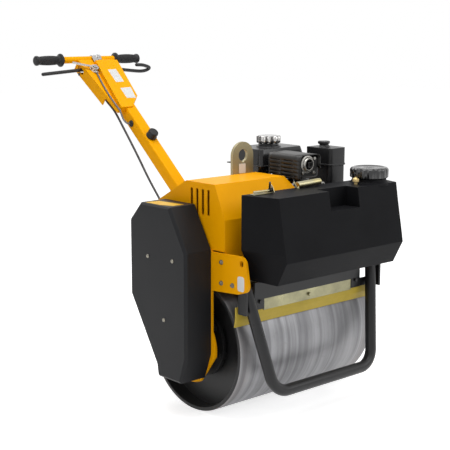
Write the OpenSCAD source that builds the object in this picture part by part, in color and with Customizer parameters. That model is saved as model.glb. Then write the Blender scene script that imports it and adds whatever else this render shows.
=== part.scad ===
// Walk-behind vibratory roller with a single smooth drum, petrol engine and folding handle.
// X runs along the drum, +X is the operator's left, -Y is the front, +Z is up.
// The origin is on the ground, under the middle of the drum.

/* [Drum] */
// Diameter of the rolling surface
drum_d = 420; // [380:5:440]
// Width of the rolling surface
drum_w = 580; // [500:10:640]
// Wall of the rolled drum shell
drum_wall = 12; // [8:1:18]
// Depth of the open recess at each end of the drum
drum_recess = 50; // [44:1:70]
// Radius of the black hub disc
hub_r = 105; // [95:1:115]

/* [Frame] */
// Thickness of the two side plates
plate_t = 8; // [6:1:10]
// Running gap from the drum's end to a side plate
plate_gap = 7; // [5:1:12]
// Height of the side plates' top edge
plate_top_z = 518; // [505:1:530]
// Height of the engine deck's upper face
deck_z = 478; // [474:1:484]
// Thickness of the deck sheet
deck_t = 8; // [5:1:10]

/* [Covers] */
// Depth of the black drive cover at the right side
cover_depth = 99; // [80:1:110]
// Wall of the moulded drive cover
cover_wall = 4; // [3:0.5:6]
// Height of the belt hood's flat top
hood_top_z = 712; // [700:1:730]
// Sheet thickness of the belt hood
hood_t = 3; // [2:0.5:4]

/* [Guard hoop] */
// Diameter of the bent guard tube
hoop_d = 35; // [28:1:40]
// Height of the lower bar's centre line
hoop_low_z = 104; // [80:1:130]
// Half length of the lower bar between the corners
hoop_low_x = 214; // [190:1:225]
// Bend radius of the two lower corners
hoop_bend_r = 62; // [45:1:75]

/* [Scraper] */
// Thickness of the scraper angle
scraper_t = 5; // [3:0.5:8]
// Height of the blade's lower edge
scraper_z = 302; // [295:1:310]
// Gap from the blade to the drum
scraper_gap = 3; // [1:0.5:6]

/* [Water tank] */
// Height of the tank's top
tank_top_z = 692; // [680:1:710]
// Width of the bevel at each end of the tank's front
tank_bevel_w = 32; // [15:1:50]
// Gap from each end of the tank to a side plate
tank_side_gap = 10; // [5:1:30]
// Wall of the moulded tank
tank_wall = 5; // [3:0.5:8]
// Diameter of the filler cap
tank_cap_d = 120; // [100:1:124]
// Width of the hand-hold in the front
handhold_w = 140; // [110:5:160]

/* [Handle] */
// Slope of the pole in the working position
pole_slope = 41.5; // [38:0.5:45]
// Width of the square pole
pole_d = 46; // [42:1:54]
// Length from the pivot to the console
pole_l = 548; // [530:2:560]
// Length of the cross handlebar over the grips
bar_l = 462; // [440:2:520]
// Diameter of the handlebar tube
bar_d = 25; // [22:1:28]
// Diameter of the rubber grips
grip_d = 34; // [31:1:38]
// Length of one grip
grip_l = 118; // [100:1:130]

/* [Engine] */
// Height of the crankshaft above the deck
crank_h = 106; // [102:1:110]
// Diameter of the fuel cap
fuel_cap_d = 80; // [60:1:84]
// Length of the fuel tank along the crankshaft
fuel_tank_w = 214; // [190:1:220]

/* [Drive] */
// Pitch radius of the clutch pulley and of the transmission's input pulley
upper_pulley_r = 42; // [38:1:44]
// Pitch radius of the exciter's own pulley
exciter_pulley_r = 40; // [36:1:41]
// Pitch radius of the drum's sprocket
drum_sprocket_r = 50; // [46:1:51]

/* [Hidden] */
$fn = 64;

// Running clearance of a shaft in its hole, and the gap between bodies that almost touch
run_gap = 0.05;
seat_gap = 0.3;
// Overrun of every cut
cut = 1;

paint = "#f5a800";
charcoal = "#2b2c30";
black = "#161618";
zinc = "#b9b39a";
steel = "#b4b6ba";
alloy = "#9b9ea2";

// Slab that spans x0 to x1 with an outline given as [y, z] points
module slab_x(x0, x1, outline)
    translate([x0, 0, 0]) rotate([90, 0, 90]) linear_extrude(x1 - x0) polygon(outline);
// Round bar along X, Y or Z
module bar_x(x0, x1, y, z, r) translate([x0, y, z]) rotate([0, 90, 0]) cylinder(h = x1 - x0, r = r);
module bar_y(y0, y1, x, z, r) translate([x, y0, z]) rotate([-90, 0, 0]) cylinder(h = y1 - y0, r = r);
module bar_z(z0, z1, x, y, r) translate([x, y, z0]) cylinder(h = z1 - z0, r = r);
// Box between two corners
module block(a, b) translate(a) cube(b - a);
// Round bar between two points
module strut(a, b, r) {
    d = b - a;
    l = norm(d);
    translate(a) rotate([0, acos(d.z / l), atan2(d.y, d.x)]) cylinder(h = l, r = r);
}
// Hexagon head with its washer, standing on z
module bolt_z(x, y, z, r) translate([x, y, z]) rotate([0, -90, 0]) bolt_x(0, 0, 0, r, 1);
// Hexagon head with its washer, along X, on the side that dir points to
module bolt_x(x, y, z, r, dir) {
    head_h = 0.8 * r;
    washer_h = 0.2 * r;
    translate([x, y, z]) rotate([0, 90 * dir, 0]) {
        cylinder(h = washer_h, r = 1.3 * r);
        translate([0, 0, washer_h]) cylinder(h = head_h, r = r, $fn = 6);
    }
}
function arc(cy, cz, r, a0, a1, n) =
    [for (i = [0 : n]) [cy + r * cos(a0 + (a1 - a0) * i / n), cz + r * sin(a0 + (a1 - a0) * i / n)]];

axle_z = drum_d / 2;
plate_in_x = drum_w / 2 + plate_gap;
plate_out_x = plate_in_x + plate_t;

// Side plates: a long leg to the drum's bearing, and a lobe forward that holds the guard hoop
leg_y = 100;
leg_back_y = 150;
lobe_r = 116;
// Ends of the straight cut across the lobe's lower front
lobe_cut = [[-116, 196], [-48, 104]];
nose_y = -248;
nose_low_y = -259;
nose_low_z = 437;
nose_r = 24;
nose_bottom_z = 405;
nose_drop = 8;
bearing_r = 50;
plate_bolts = [[-143, 489], [-143, 427], [-191, 428]];
plate_bolt_r = 5.5;
nose_slot = [-229, 497];
nose_slot_r = 7;
nose_slot_rise = 5;
shaft_hole_r = 14;
jack_y = 85;
jack_z = 494;
pinion_y = -40;
pinion_z = 480;
module plate_outline(front) {
    difference() {
        union() {
            translate([0, axle_z]) circle(r = lobe_r);
            translate([-leg_y, axle_z]) square([leg_y + leg_back_y, plate_top_z - axle_z]);
            if (front) hull() {
                translate([nose_y + nose_r, plate_top_z - nose_r]) circle(r = nose_r);
                translate([nose_low_y + nose_r, nose_low_z]) circle(r = nose_r);
                translate([nose_low_y + 2 * nose_r, nose_bottom_z + nose_r]) circle(r = nose_r);
                translate([-leg_y, nose_bottom_z - nose_drop]) square([leg_y, plate_top_z - nose_bottom_z]);
            }
        }
        polygon([[leg_back_y + cut, axle_z], [leg_back_y + cut, jack_z - 2 * leg_y],
            [lobe_r * cos(30), axle_z + lobe_r * sin(30)], [lobe_r, axle_z]]);
        polygon([[-2 * lobe_r, lobe_cut[0].y], lobe_cut[0], lobe_cut[1], [lobe_cut[1].x, 0], [-2 * lobe_r, 0]]);
    }
}
module side_plate(side) {
    x0 = side < 0 ? -plate_out_x : plate_in_x;
    color(paint) difference() {
        translate([x0, 0, 0]) rotate([90, 0, 90]) linear_extrude(plate_t) plate_outline(side < 0);
        bar_x(x0 - cut, x0 + plate_t + cut, 0, axle_z, bearing_r + seat_gap);
        if (side < 0) {
            bar_x(x0 - cut, x0 + plate_t + cut, jack_y, jack_z, shaft_hole_r);
            bar_x(x0 - cut, x0 + plate_t + cut, pinion_y, pinion_z, shaft_hole_r);
            for (p = plate_bolts) bar_x(x0 - cut, x0 + plate_t + cut, p[0], p[1], plate_bolt_r);
            for (s = [-1, 1]) bar_x(x0 - cut, x0 + plate_t + cut, nose_slot[0],
                nose_slot[1] + s * nose_slot_rise / 2, nose_slot_r);
            block([x0 - cut, nose_slot[0] - nose_slot_r, nose_slot[1] - nose_slot_rise / 2],
                [x0 + plate_t + cut, nose_slot[0] + nose_slot_r, nose_slot[1] + nose_slot_rise / 2]);
        }
    }
}
module right_side_plate() side_plate(-1);
module left_side_plate() side_plate(1);

// Engine deck: sheet on two cross beams, with the transmission's well and the handle's lugs
deck_front_y = -150;
deck_back_y = 210;
beam_h = 40;
beam_t = 6;
well = [[-plate_in_x - cut, -74], [-124, 126]];
belt_slot = [[-38, 28], [-6, 142]];
rear_beam_y = 250;
lug_y = 300;
lug_z = 514;
lug_t = 8;
lug_r = 26;
lug_gap = 0.5;
lug_in_x = pole_d / 2 + lug_gap;
pivot_r = 10;
support_reach = 120;
support_y = deck_front_y - support_reach;
support_w = 30;
lug_arc = [-60, 150];
module engine_deck() color(paint) difference() {
    union() {
        block([-plate_in_x, deck_front_y, deck_z - deck_t], [plate_in_x, deck_back_y, deck_z]);
        block([-plate_in_x, deck_front_y, deck_z - deck_t - beam_h], [plate_in_x, deck_front_y + beam_t, deck_z]);
        block([-plate_in_x, deck_back_y - beam_t, deck_z - deck_t - beam_h], [plate_in_x, rear_beam_y, deck_z]);
        for (s = [-1, 1]) {
            x0 = s < 0 ? -lug_in_x - lug_t : lug_in_x;
            slab_x(x0, x0 + lug_t, concat([[rear_beam_y - cut, deck_z - deck_t - beam_h]],
                arc(lug_y, lug_z, lug_r, lug_arc[0], lug_arc[1], 14), [[rear_beam_y - cut, deck_z]]));
            block([s * stand_x - lug_t / 2, rear_beam_y - cut, stand_pivot_z - lug_r],
                [s * stand_x + lug_t / 2, stand_pivot_y + lug_r / 2, deck_z - deck_t]);
        }
        for (s = [-1, 1]) block([s * shelf_x - support_w / 2, support_y, tank_low_z - beam_t],
            [s * shelf_x + support_w / 2, deck_front_y + beam_t, tank_low_z]);
    }
    for (c = [well, belt_slot])
        block([c[0].x, c[0].y, deck_z - deck_t - cut], [c[1].x, c[1].y, deck_z + cut]);
    bar_x(-lug_in_x - lug_t - cut, lug_in_x + lug_t + cut, lug_y, lug_z, pivot_r + run_gap);
    bar_x(-stand_x - lug_t, stand_x + lug_t, stand_pivot_y, stand_pivot_z, stand_pin_r + run_gap);
    for (x = engine_feet_x, y = engine_feet_y) bar_z(deck_z - deck_t - cut, deck_z + cut, x, y, engine_bolt_r);
}
shelf_x = 150;
// Parking stand behind the drum, which keeps the machine level
stand_x = 90;
stand_pivot_y = 306;
stand_pivot_z = 440;
stand_foot_y = 286;
stand_pin_r = 8;
stand_r = 11;
stand_foot_w = 60;
stand_foot_t = 8;
stand_eye_r = 16;
stand_side_gap = 0.5;
module parking_stand() color(black) {
    for (s = [-1, 1]) {
        x_in = s * (stand_x - lug_t / 2 - stand_side_gap - stand_r);
        strut([x_in, stand_pivot_y, stand_pivot_z], [x_in, stand_foot_y, stand_foot_t], stand_r);
        bar_x(x_in - stand_r, x_in + stand_r, stand_pivot_y, stand_pivot_z, stand_eye_r);
    }
    block([-stand_x, stand_foot_y - stand_foot_w / 2, 0], [stand_x, stand_foot_y + stand_foot_w / 2, stand_foot_t]);
    bar_x(-stand_x - lug_t, stand_x + lug_t, stand_pivot_y, stand_pivot_z, stand_pin_r);
}

// Lifting eye: one upright plate with a teardrop hole, welded to a post on the deck
eye_w = 88;
eye_t = 10;
eye_y = 34;
eye_x = -60;
eye_top_z = 810;
eye_hole_r = 19;
eye_hole_z = 768;
eye_point_z = 745;
eye_foot_out = 46;
eye_foot_in = 20;
eye_root_h = 46;
module lifting_eye() color(zinc) {
    difference() {
        union() {
            bar_y(eye_y - eye_t / 2, eye_y + eye_t / 2, eye_x, eye_top_z - eye_w / 2, eye_w / 2);
            block([eye_x - eye_w / 2, eye_y - eye_t / 2, hood_top_z - hood_t - eye_root_h],
                [eye_x + eye_w / 2, eye_y + eye_t / 2, eye_top_z - eye_w / 2]);
            block([eye_x - eye_foot_out, eye_y - eye_t / 2, deck_z], [eye_x + eye_foot_in, eye_y + eye_t / 2,
                hood_top_z - hood_t - eye_root_h + cut]);
        }
        bar_y(eye_y - eye_t, eye_y + eye_t, eye_x, eye_hole_z, eye_hole_r);
        translate([eye_x, eye_y + eye_t, eye_hole_z]) rotate([90, 0, 0]) linear_extrude(2 * eye_t)
            polygon([[-eye_hole_r * cos(35), -eye_hole_r * sin(35)], [0, eye_point_z - eye_hole_z],
                [eye_hole_r * cos(35), -eye_hole_r * sin(35)]]);
    }
}

// Belt hood: folded yellow sheet over the upper belt, open towards the engine, with four louvres
hood_low_z = deck_z;
hood_set_in = 5;
hood_out_x = plate_out_x - hood_set_in;
hood_in_x = -14;
louvre_y = -5;
louvre_step = 25;
louvre_w = 10;
louvre_top_z = 693;
louvre_low_z = 642;
louvre_drop = 24;
function hood_outline(inset) = [
    [hood_front_y + inset, hood_low_z], [hood_front_y + inset, hood_fold_z - inset / 2],
    [hood_top_front_y + inset / 2, hood_top_z - inset], [hood_top_back_y - inset / 2, hood_top_z - inset],
    [hood_back_y - inset, hood_back_z - inset / 2], [hood_back_y - inset, hood_low_z]];
hood_front_y = -152;
hood_fold_z = 612;
hood_top_front_y = -107;
hood_top_back_y = 20;
hood_back_y = 155;
hood_back_z = 638;
module belt_hood() color(paint) difference() {
    slab_x(-hood_out_x, hood_in_x, hood_outline(0));
    slab_x(-hood_out_x + hood_t, hood_in_x + cut, [for (p = hood_outline(hood_t)) [p.x, p.y == hood_low_z ? p.y - cut : p.y]]);
    for (i = [0 : 3]) block([-hood_out_x - cut, louvre_y - i * louvre_step - louvre_w / 2,
        louvre_low_z - (i > 0 ? louvre_drop : 0)],
        [-hood_out_x + hood_t + cut, louvre_y - i * louvre_step + louvre_w / 2, louvre_top_z]);
    bar_y(hood_back_y - 2 * hood_t, hood_back_y + cut, cable_in_x, cable_in_z, 2 * cable_r);
    block([-hood_out_x - cut, hood_front_y - cut, hood_low_z - cut],
        [-plate_in_x + seat_gap, hood_back_y + cut, plate_top_z + seat_gap]);
    block([eye_x - eye_w / 2 - seat_gap, eye_y - eye_t / 2 - seat_gap, hood_back_z],
        [eye_x + eye_w / 2 + seat_gap, eye_y + eye_t / 2 + seat_gap, hood_top_z + cut]);
}

// Drive cover: moulded black shell over the chain and the exciter belt, bevelled round its face
cover_in_x = plate_out_x;
cover_out_x = plate_out_x + cover_depth;
cover_bevel = 7;
cover_front_y = -98;
cover_back_y = 165;
cover_top_z = 646;
cover_top_front_y = -25;
cover_front_fold_z = 519;
cover_front_low_z = 201;
cover_low_front_y = -70;
cover_low_z = 122;
cover_low_back_y = 34;
cover_knee_z = 160;
cover_knee_y = 43;
cover_back_low_z = 358;
cover_back_top_z = 590;
cover_top_back_y = 113;
function cover_outline(i) = [
    [cover_front_y + i, cover_front_low_z + i / 3], [cover_front_y + i, cover_front_fold_z - i / 4],
    [cover_top_front_y + i * 0.7, cover_top_z - i], [cover_top_back_y - i / 2, cover_top_z - i],
    [cover_back_y - i, cover_back_top_z - i / 2], [cover_back_y - i, cover_back_low_z + i / 4],
    [cover_knee_y - i, cover_knee_z + i / 3], [cover_low_back_y - i / 2, cover_low_z + i],
    [cover_low_front_y + i / 2, cover_low_z + i]];
cover_bolts = [[77, 487], [-38, 489], [3, 304]];
cover_bolt_r = 8;
cover_boss_r = 13;
module cover_shape(inset, x_in, x_out, bevel) hull() {
    slab_x(-x_out + bevel, -x_in, cover_outline(inset));
    slab_x(-x_out, -x_in, cover_outline(inset + bevel));
}
module drive_cover() color(charcoal) difference() {
    cover_shape(0, cover_in_x, cover_out_x, cover_bevel);
    cover_shape(cover_wall, cover_in_x - cut, cover_out_x - cover_wall, cover_bevel);
    for (p = cover_bolts) bar_x(-cover_out_x - cut, -cover_in_x, p[0], p[1], cover_bolt_r / 2 + run_gap);
}

// Zinc-plated bolts of the side plates, the drive cover and the engine's feet
plate_bolt_head_r = 7.5;
cover_bolt_head_r = 8;
engine_bolt_head_r = 8;
module frame_bolts() color(zinc) {
    for (p = plate_bolts) {
        bolt_x(-plate_out_x, p[0], p[1], plate_bolt_head_r, -1);
        bar_x(-plate_out_x, -plate_in_x, p[0], p[1], plate_bolt_r);
    }
    for (p = cover_bolts) {
        bolt_x(-cover_out_x, p[0], p[1], cover_bolt_head_r, -1);
        bar_x(-cover_out_x, -cover_out_x + cover_wall, p[0], p[1], cover_bolt_r / 2);
    }
    for (x = engine_feet_x, y = engine_feet_y) {
        bolt_z(x, y, deck_z + case_foot_t, engine_bolt_head_r);
        bar_z(deck_z - deck_t, deck_z + case_foot_t, x, y, engine_bolt_r);
    }
}

// Guard hoop: one bent tube in a plane that leans forward, welded to a flat bracket at each end
hoop_r = hoop_d / 2;
hoop_low_y = -278.5;
hoop_top_y = -219;
hoop_top_z = 394;
hoop_top_in = 27;
hoop_top_x = plate_in_x - hoop_top_in;
hoop_reach = 24;
hoop_lean = atan((hoop_top_y - hoop_low_y) / (hoop_top_z - hoop_low_z));
hoop_slope_h = (hoop_top_z - hoop_low_z) / cos(hoop_lean);
hoop_splay = atan((hoop_top_x - hoop_low_x) / hoop_slope_h);
hoop_turn = 90 - hoop_splay;
hoop_cut_back = hoop_bend_r * tan(hoop_turn / 2);
hoop_bracket_t = 8;
// The bracket's front, the back of its lower part and of its upper part, and its heights
hoop_bracket_y = [-240, -205, -158];
hoop_bracket_z = [343, 405, 412, 452];
hoop_sides = 32;
hoop_bend_steps = 12;
// Half of the hoop's centre line, as distances along the drum and up the leaning plane
hoop_half = concat([for (i = [0 : hoop_bend_steps]) let (a = -90 + hoop_turn * i / hoop_bend_steps)
    [hoop_low_x - hoop_cut_back + hoop_bend_r * cos(a), hoop_bend_r + hoop_bend_r * sin(a)]],
    [[hoop_low_x, 0] + (hoop_slope_h / cos(hoop_splay) + hoop_reach) * [sin(hoop_splay), cos(hoop_splay)]]);
function hoop_point(u, v) = [u, hoop_low_y + v * sin(hoop_lean), hoop_low_z + v * cos(hoop_lean)];
hoop_line = concat([for (i = [len(hoop_half) - 1 : -1 : 0]) hoop_point(-hoop_half[i].x, hoop_half[i].y)],
    [for (p = hoop_half) hoop_point(p.x, p.y)]);
module guard_hoop() color(black) {
    tube_along(hoop_line, hoop_r, hoop_sides, [0, -cos(hoop_lean), sin(hoop_lean)]);
    for (s = [0, 1]) mirror([s, 0, 0]) {
        x1 = plate_in_x - seat_gap;
        difference() {
            slab_x(x1 - hoop_bracket_t, x1, [[hoop_bracket_y[0], hoop_bracket_z[0]], [hoop_bracket_y[1], hoop_bracket_z[0]],
                [hoop_bracket_y[1], hoop_bracket_z[1]], [hoop_bracket_y[2], hoop_bracket_z[2]],
                [hoop_bracket_y[2], hoop_bracket_z[3]], [hoop_bracket_y[0], hoop_bracket_z[3]]]);
            if (s == 1) for (p = plate_bolts)
                bar_x(x1 - hoop_bracket_t - cut, x1 + cut, p[0], p[1], plate_bolt_r + run_gap);
        }
    }
}

// Scraper: steel angle held just off the drum, a zinc clamp strip, and a black bracket at each end
blade_y = -sqrt(pow(axle_z, 2) - pow(scraper_z - axle_z, 2)) - scraper_gap;
blade_fold = 10;
blade_back_y = blade_y - blade_fold;
blade_up_z = 362;
blade_over = 10;
blade_l = drum_w + 2 * blade_over;
// Rise of the fold on the blade's drum side and on its front side
blade_rise_in = 25;
blade_rise_out = 21;
module scraper_blade() color("#c9a93c") {
    slab_x(-blade_l / 2, blade_l / 2, [[blade_y - scraper_t, scraper_z], [blade_y, scraper_z],
        [blade_back_y + scraper_t, scraper_z + blade_rise_in], [blade_back_y + scraper_t, blade_up_z],
        [blade_back_y, blade_up_z], [blade_back_y, scraper_z + blade_rise_out]]);
}
clamp_end_in = 98;
clamp_l = drum_w - 2 * clamp_end_in;
clamp_h = 34;
clamp_t = 4;
clamp_low_z = 339;
clamp_bolt_r = 6;
module scraper_clamp() color(zinc) {
    y1 = blade_back_y;
    block([-clamp_l / 2, y1 - clamp_t, clamp_low_z], [clamp_l / 2, y1, clamp_low_z + clamp_h]);
    translate([0, y1 - clamp_t, clamp_low_z + clamp_h / 2]) rotate([90, 0, 0])
        cylinder(h = clamp_bolt_r, r = clamp_bolt_r, $fn = 6);
}
bracket_gap = 0.6;
bracket_in_x = clamp_l / 2 + bracket_gap;
bracket_w = 40;
bracket_t = 6;
bracket_low_z = 344;
bracket_top_z = 392;
screen_top_z = 426;
bracket_bolt_in = 18;
bracket_bolt_r = 6;
// Thin ends behind the hoop's legs
wing_w = 31;
wing_top_z = 370;
// Two brackets run back from the blade to the deck's front beam, joined by a screen over the clamp
module scraper_brackets() color(black) {
    y0 = blade_back_y - bracket_t;
    x1 = bracket_in_x + bracket_w;
    for (s = [-1, 1]) {
        x0 = s > 0 ? bracket_in_x : -x1;
        block([x0, y0, bracket_low_z], [x0 + bracket_w, blade_back_y, bracket_top_z]);
        block([x0, y0, bracket_top_z], [x0 + bracket_w, deck_front_y + bracket_t, bracket_top_z + bracket_t]);
        block([x0, deck_front_y - bracket_t, bracket_top_z + bracket_t],
            [x0 + bracket_w, deck_front_y, deck_z - deck_t]);
        block([s > 0 ? x1 - cut : -x1 - wing_w, blade_back_y - bracket_t / 2, bracket_low_z],
            [s > 0 ? x1 + wing_w : -x1 + cut, blade_back_y, wing_top_z]);
        translate([s * (bracket_in_x + bracket_bolt_in), y0, (bracket_low_z + bracket_top_z) / 2]) rotate([90, 0, 0])
            cylinder(h = bracket_bolt_r, r = bracket_bolt_r, $fn = 6);
    }
    block([-x1 + cut, y0, clamp_low_z + clamp_h + bracket_gap], [x1 - cut, blade_back_y, screen_top_z]);
}

// Water tank: one hollow moulding whose front leans, with bevelled ends and a hand-hold
tank_front_top_y = -327;
tank_front_y = -360;
tank_bulge_z = 510;
tank_end_z = 533;
tank_low_front_y = -324;
tank_low_z = 441;
tank_back_y = -208;
tank_bevel_y = -216;
tank_low_taper = 29;
tank_back_w = 2 * (plate_in_x - tank_side_gap);
tank_front_w = tank_back_w - 2 * tank_bevel_w;
tank_low_w = tank_back_w - 2 * tank_low_taper;
handhold_x = 13;
handhold_low_z = 633;
handhold_back_y = -278;
tank_neck_x = 193;
tank_neck_y = -270;
tank_neck_r = 46;
tank_neck_h = 10;
tank_collar_h = 14;
tank_collar_r = 52;
function tank_plan(i, front, width_back) = [
    [-tank_front_w / 2 + i, front + i], [tank_front_w / 2 - i, front + i],
    [width_back / 2 - i, tank_bevel_y + i / 2], [width_back / 2 - i, tank_back_y - i],
    [-width_back / 2 + i, tank_back_y - i], [-width_back / 2 + i, tank_bevel_y + i / 2]];
sheet = 0.5;
module tank_level(z, i, front, width_back)
    translate([0, 0, z]) linear_extrude(sheet) polygon(tank_plan(i, front, width_back));
module tank_shape(i) hull() {
    tank_level(tank_top_z - sheet - i, i, tank_front_top_y, tank_back_w);
    tank_level(tank_end_z, i, tank_front_y + (tank_end_z - tank_bulge_z) / 6, tank_back_w);
    tank_level(tank_bulge_z, i, tank_front_y, tank_back_w - (tank_end_z - tank_bulge_z));
    tank_level(tank_low_z + i, i, tank_low_front_y, tank_low_w);
}
module tank_notch(i) block([handhold_x - handhold_w / 2 - i, tank_front_y - cut, handhold_low_z - i],
    [handhold_x + handhold_w / 2 + i, handhold_back_y + i, tank_top_z + cut]);
module water_tank() color(charcoal) difference() {
    union() {
        difference() {
            tank_shape(0);
            difference() {
                tank_shape(tank_wall);
                tank_notch(tank_wall);
            }
            tank_notch(0);
        }
        bar_z(tank_top_z - tank_wall, tank_top_z + tank_collar_h, tank_neck_x, tank_neck_y, tank_collar_r);
        bar_z(tank_top_z, tank_top_z + tank_collar_h + tank_neck_h, tank_neck_x, tank_neck_y, tank_neck_r);
    }
    bar_z(tank_top_z - tank_wall - cut, tank_top_z + tank_collar_h + tank_neck_h + cut, tank_neck_x, tank_neck_y, tank_neck_r - tank_wall);
}
tank_cap_h = 33;
tank_cap_rim = 4;
cap_ribs = 24;
module water_cap() color(black) {
    z0 = tank_top_z + tank_collar_h + seat_gap;
    difference() {
        union() {
            bar_z(z0, z0 + tank_cap_h, tank_neck_x, tank_neck_y, tank_cap_d / 2 - 1.5 * tank_cap_rim / 2);
            for (i = [0 : cap_ribs - 1]) translate([tank_neck_x, tank_neck_y, z0]) rotate(i * 360 / cap_ribs)
                translate([tank_cap_d / 2 - tank_cap_rim, -tank_cap_rim / 2, 0]) cube([tank_cap_rim, tank_cap_rim, tank_cap_h * 0.8]);
        }
        bar_z(z0 - cut, z0 + tank_cap_h - tank_cap_rim, tank_neck_x, tank_neck_y, tank_neck_r + seat_gap);
    }
}

// Tank strap: zinc rod over the tank's top with a triangular catch and a stop plate, and its black lever
strap_rise = 8;
strap_z = tank_top_z + strap_rise;
strap_y = -232;
strap_r = 4;
strap_x = [-268, -95];
catch_x = -197;
catch_w = 24;
catch_h = 16;
catch_t = 4;
stop_end_x = 22;
stop_h = 21;
module tank_strap() color(zinc) {
    bar_x(strap_x[0], strap_x[1], strap_y, strap_z, strap_r);
    slab_x(catch_x + catch_t / 2, catch_x + 1.5 * catch_t,
        [[strap_y - catch_w / 2, tank_top_z], [strap_y + catch_w / 2, tank_top_z], [strap_y, strap_z + catch_h]]);
    for (x = strap_x) block([x - catch_t, strap_y - catch_w / 2, tank_top_z], [x + catch_t, strap_y + catch_w / 2, strap_z]);
    block([strap_x[1], strap_y - catch_t / 2, tank_top_z], [stop_end_x, strap_y + catch_t / 2, tank_top_z + stop_h]);
}
latch_l = 42;
latch_r = 3;
latch_hub_r = 7;
module latch_lever() color(black) {
    x0 = catch_x - catch_t / 2;
    difference() {
        union() {
            bar_x(x0, x0 + catch_t - seat_gap, strap_y, strap_z, latch_hub_r);
            strut([x0 + seat_gap, strap_y, strap_z + strap_r + latch_r + run_gap], [x0 + catch_t / 2 - latch_l / 3, strap_y - latch_l / 3,
                strap_z + latch_l * 0.6], latch_r);
        }
        bar_x(x0 - cut, x0 + catch_t + cut, strap_y, strap_z, strap_r + run_gap);
    }
}
fitting = [122, -278];
fitting_r = 9;
fitting_stem_r = 6;
fitting_stem_h = 6;
fitting_h = 19;
module brass_fitting() color("#b08d3c") translate([fitting.x, fitting.y, tank_top_z]) {
    cylinder(h = fitting_stem_h, r = fitting_stem_r);
    translate([0, 0, fitting_stem_h]) cylinder(h = fitting_h - fitting_stem_h, r = fitting_r, $fn = 6);
}

// Tube along a route of hand-chosen points, smoothed between them, with flat square ends
function spline_at(p, i, t) = let (n = len(p) - 1, a = p[max(i - 1, 0)], b = p[i], c = p[min(i + 1, n)], d = p[min(i + 2, n)])
    0.5 * (2 * b + (c - a) * t + (2 * a - 5 * b + 4 * c - d) * t * t + (3 * b - a - 3 * c + d) * t * t * t);
function route(p, k) = concat([for (i = [0 : len(p) - 2], j = [0 : k - 1]) spline_at(p, i, j / k)], [p[len(p) - 1]]);
// Direction that no part of the plain routes runs along
route_ref = [0.31, 0.17, 0.93];
module tube_along(p, r, sides, ref = route_ref) {
    n = len(p);
    tangent = [for (i = [0 : n - 1]) let (d = p[min(i + 1, n - 1)] - p[max(i - 1, 0)]) d / norm(d)];
    ring = [for (i = [0 : n - 1]) let (side = cross(tangent[i], ref), u = side / norm(side), v = cross(tangent[i], u))
        for (k = [0 : sides - 1]) p[i] + r * (cos(360 * k / sides) * u + sin(360 * k / sides) * v)];
    polyhedron(ring, concat([[for (k = [0 : sides - 1]) k]], [[for (k = [sides - 1 : -1 : 0]) (n - 1) * sides + k]],
        [for (i = [0 : n - 2], k = [0 : sides - 1]) let (m = (k + 1) % sides)
            each [[i * sides + k, (i + 1) * sides + k, (i + 1) * sides + m], [i * sides + k, (i + 1) * sides + m, i * sides + m]]]));
}

// Sprinkler: perforated pipe over the drum behind the scraper, fed by a hose through a tap
pipe_y = -170;
pipe_z = 424;
pipe_r = 8;
pipe_end_in = 37;
pipe_l = 2 * (plate_in_x - pipe_end_in);
pipe_holes = 12;
pipe_hole_r = 1.5;
tap_z = 436;
module sprinkler_pipe() color(zinc) difference() {
    union() {
        bar_x(-pipe_l / 2, pipe_l / 2, pipe_y, pipe_z, pipe_r);
        for (s = [-1, 1]) block([s * pipe_l / 3 - pipe_r, pipe_y, pipe_z], [s * pipe_l / 3 + pipe_r, deck_front_y, pipe_z + pipe_r]);
    }
    for (i = [0 : pipe_holes - 1]) bar_z(pipe_z - 2 * pipe_r, pipe_z, -pipe_l / 2 + pipe_l * (i + 0.5) / pipe_holes,
        pipe_y, pipe_hole_r);
}
hose_r = 6;
feed = [plate_in_x - 40, -224];
feed_z = 432;
feed_r = 4;
feed_stub_r = 5;
module water_hose() color(black) {
    bar_x(pipe_l / 2 + seat_gap, pipe_l / 2 + 2 * pipe_r, pipe_y, pipe_z, hose_r);
    bar_z(pipe_z + hose_r, tap_z, tap_post_x, pipe_y, hose_r);
    strut([tap_post_x, pipe_y, feed_z], [feed.x, feed.y, feed_z], feed_r);
    bar_z(feed_z - feed_r, tank_low_z, feed.x, feed.y, feed_stub_r);
}
// Tap under the tank's rear, whose lever turns on top of its body
tap_post_x = pipe_l / 2 + 1.2 * pipe_r;
tap_lever_l = 20;
tap_lever_t = 5;
module water_tap_lever() color("#b3261e") {
    y = pipe_y;
    bar_z(tap_z + seat_gap, tap_z + tap_lever_t + seat_gap, tap_post_x, y, hose_r);
    block([tap_post_x - tap_lever_l, y - tap_lever_t / 2, tap_z + seat_gap], [tap_post_x, y + tap_lever_t / 2, tap_z + tap_lever_t]);
}

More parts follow.
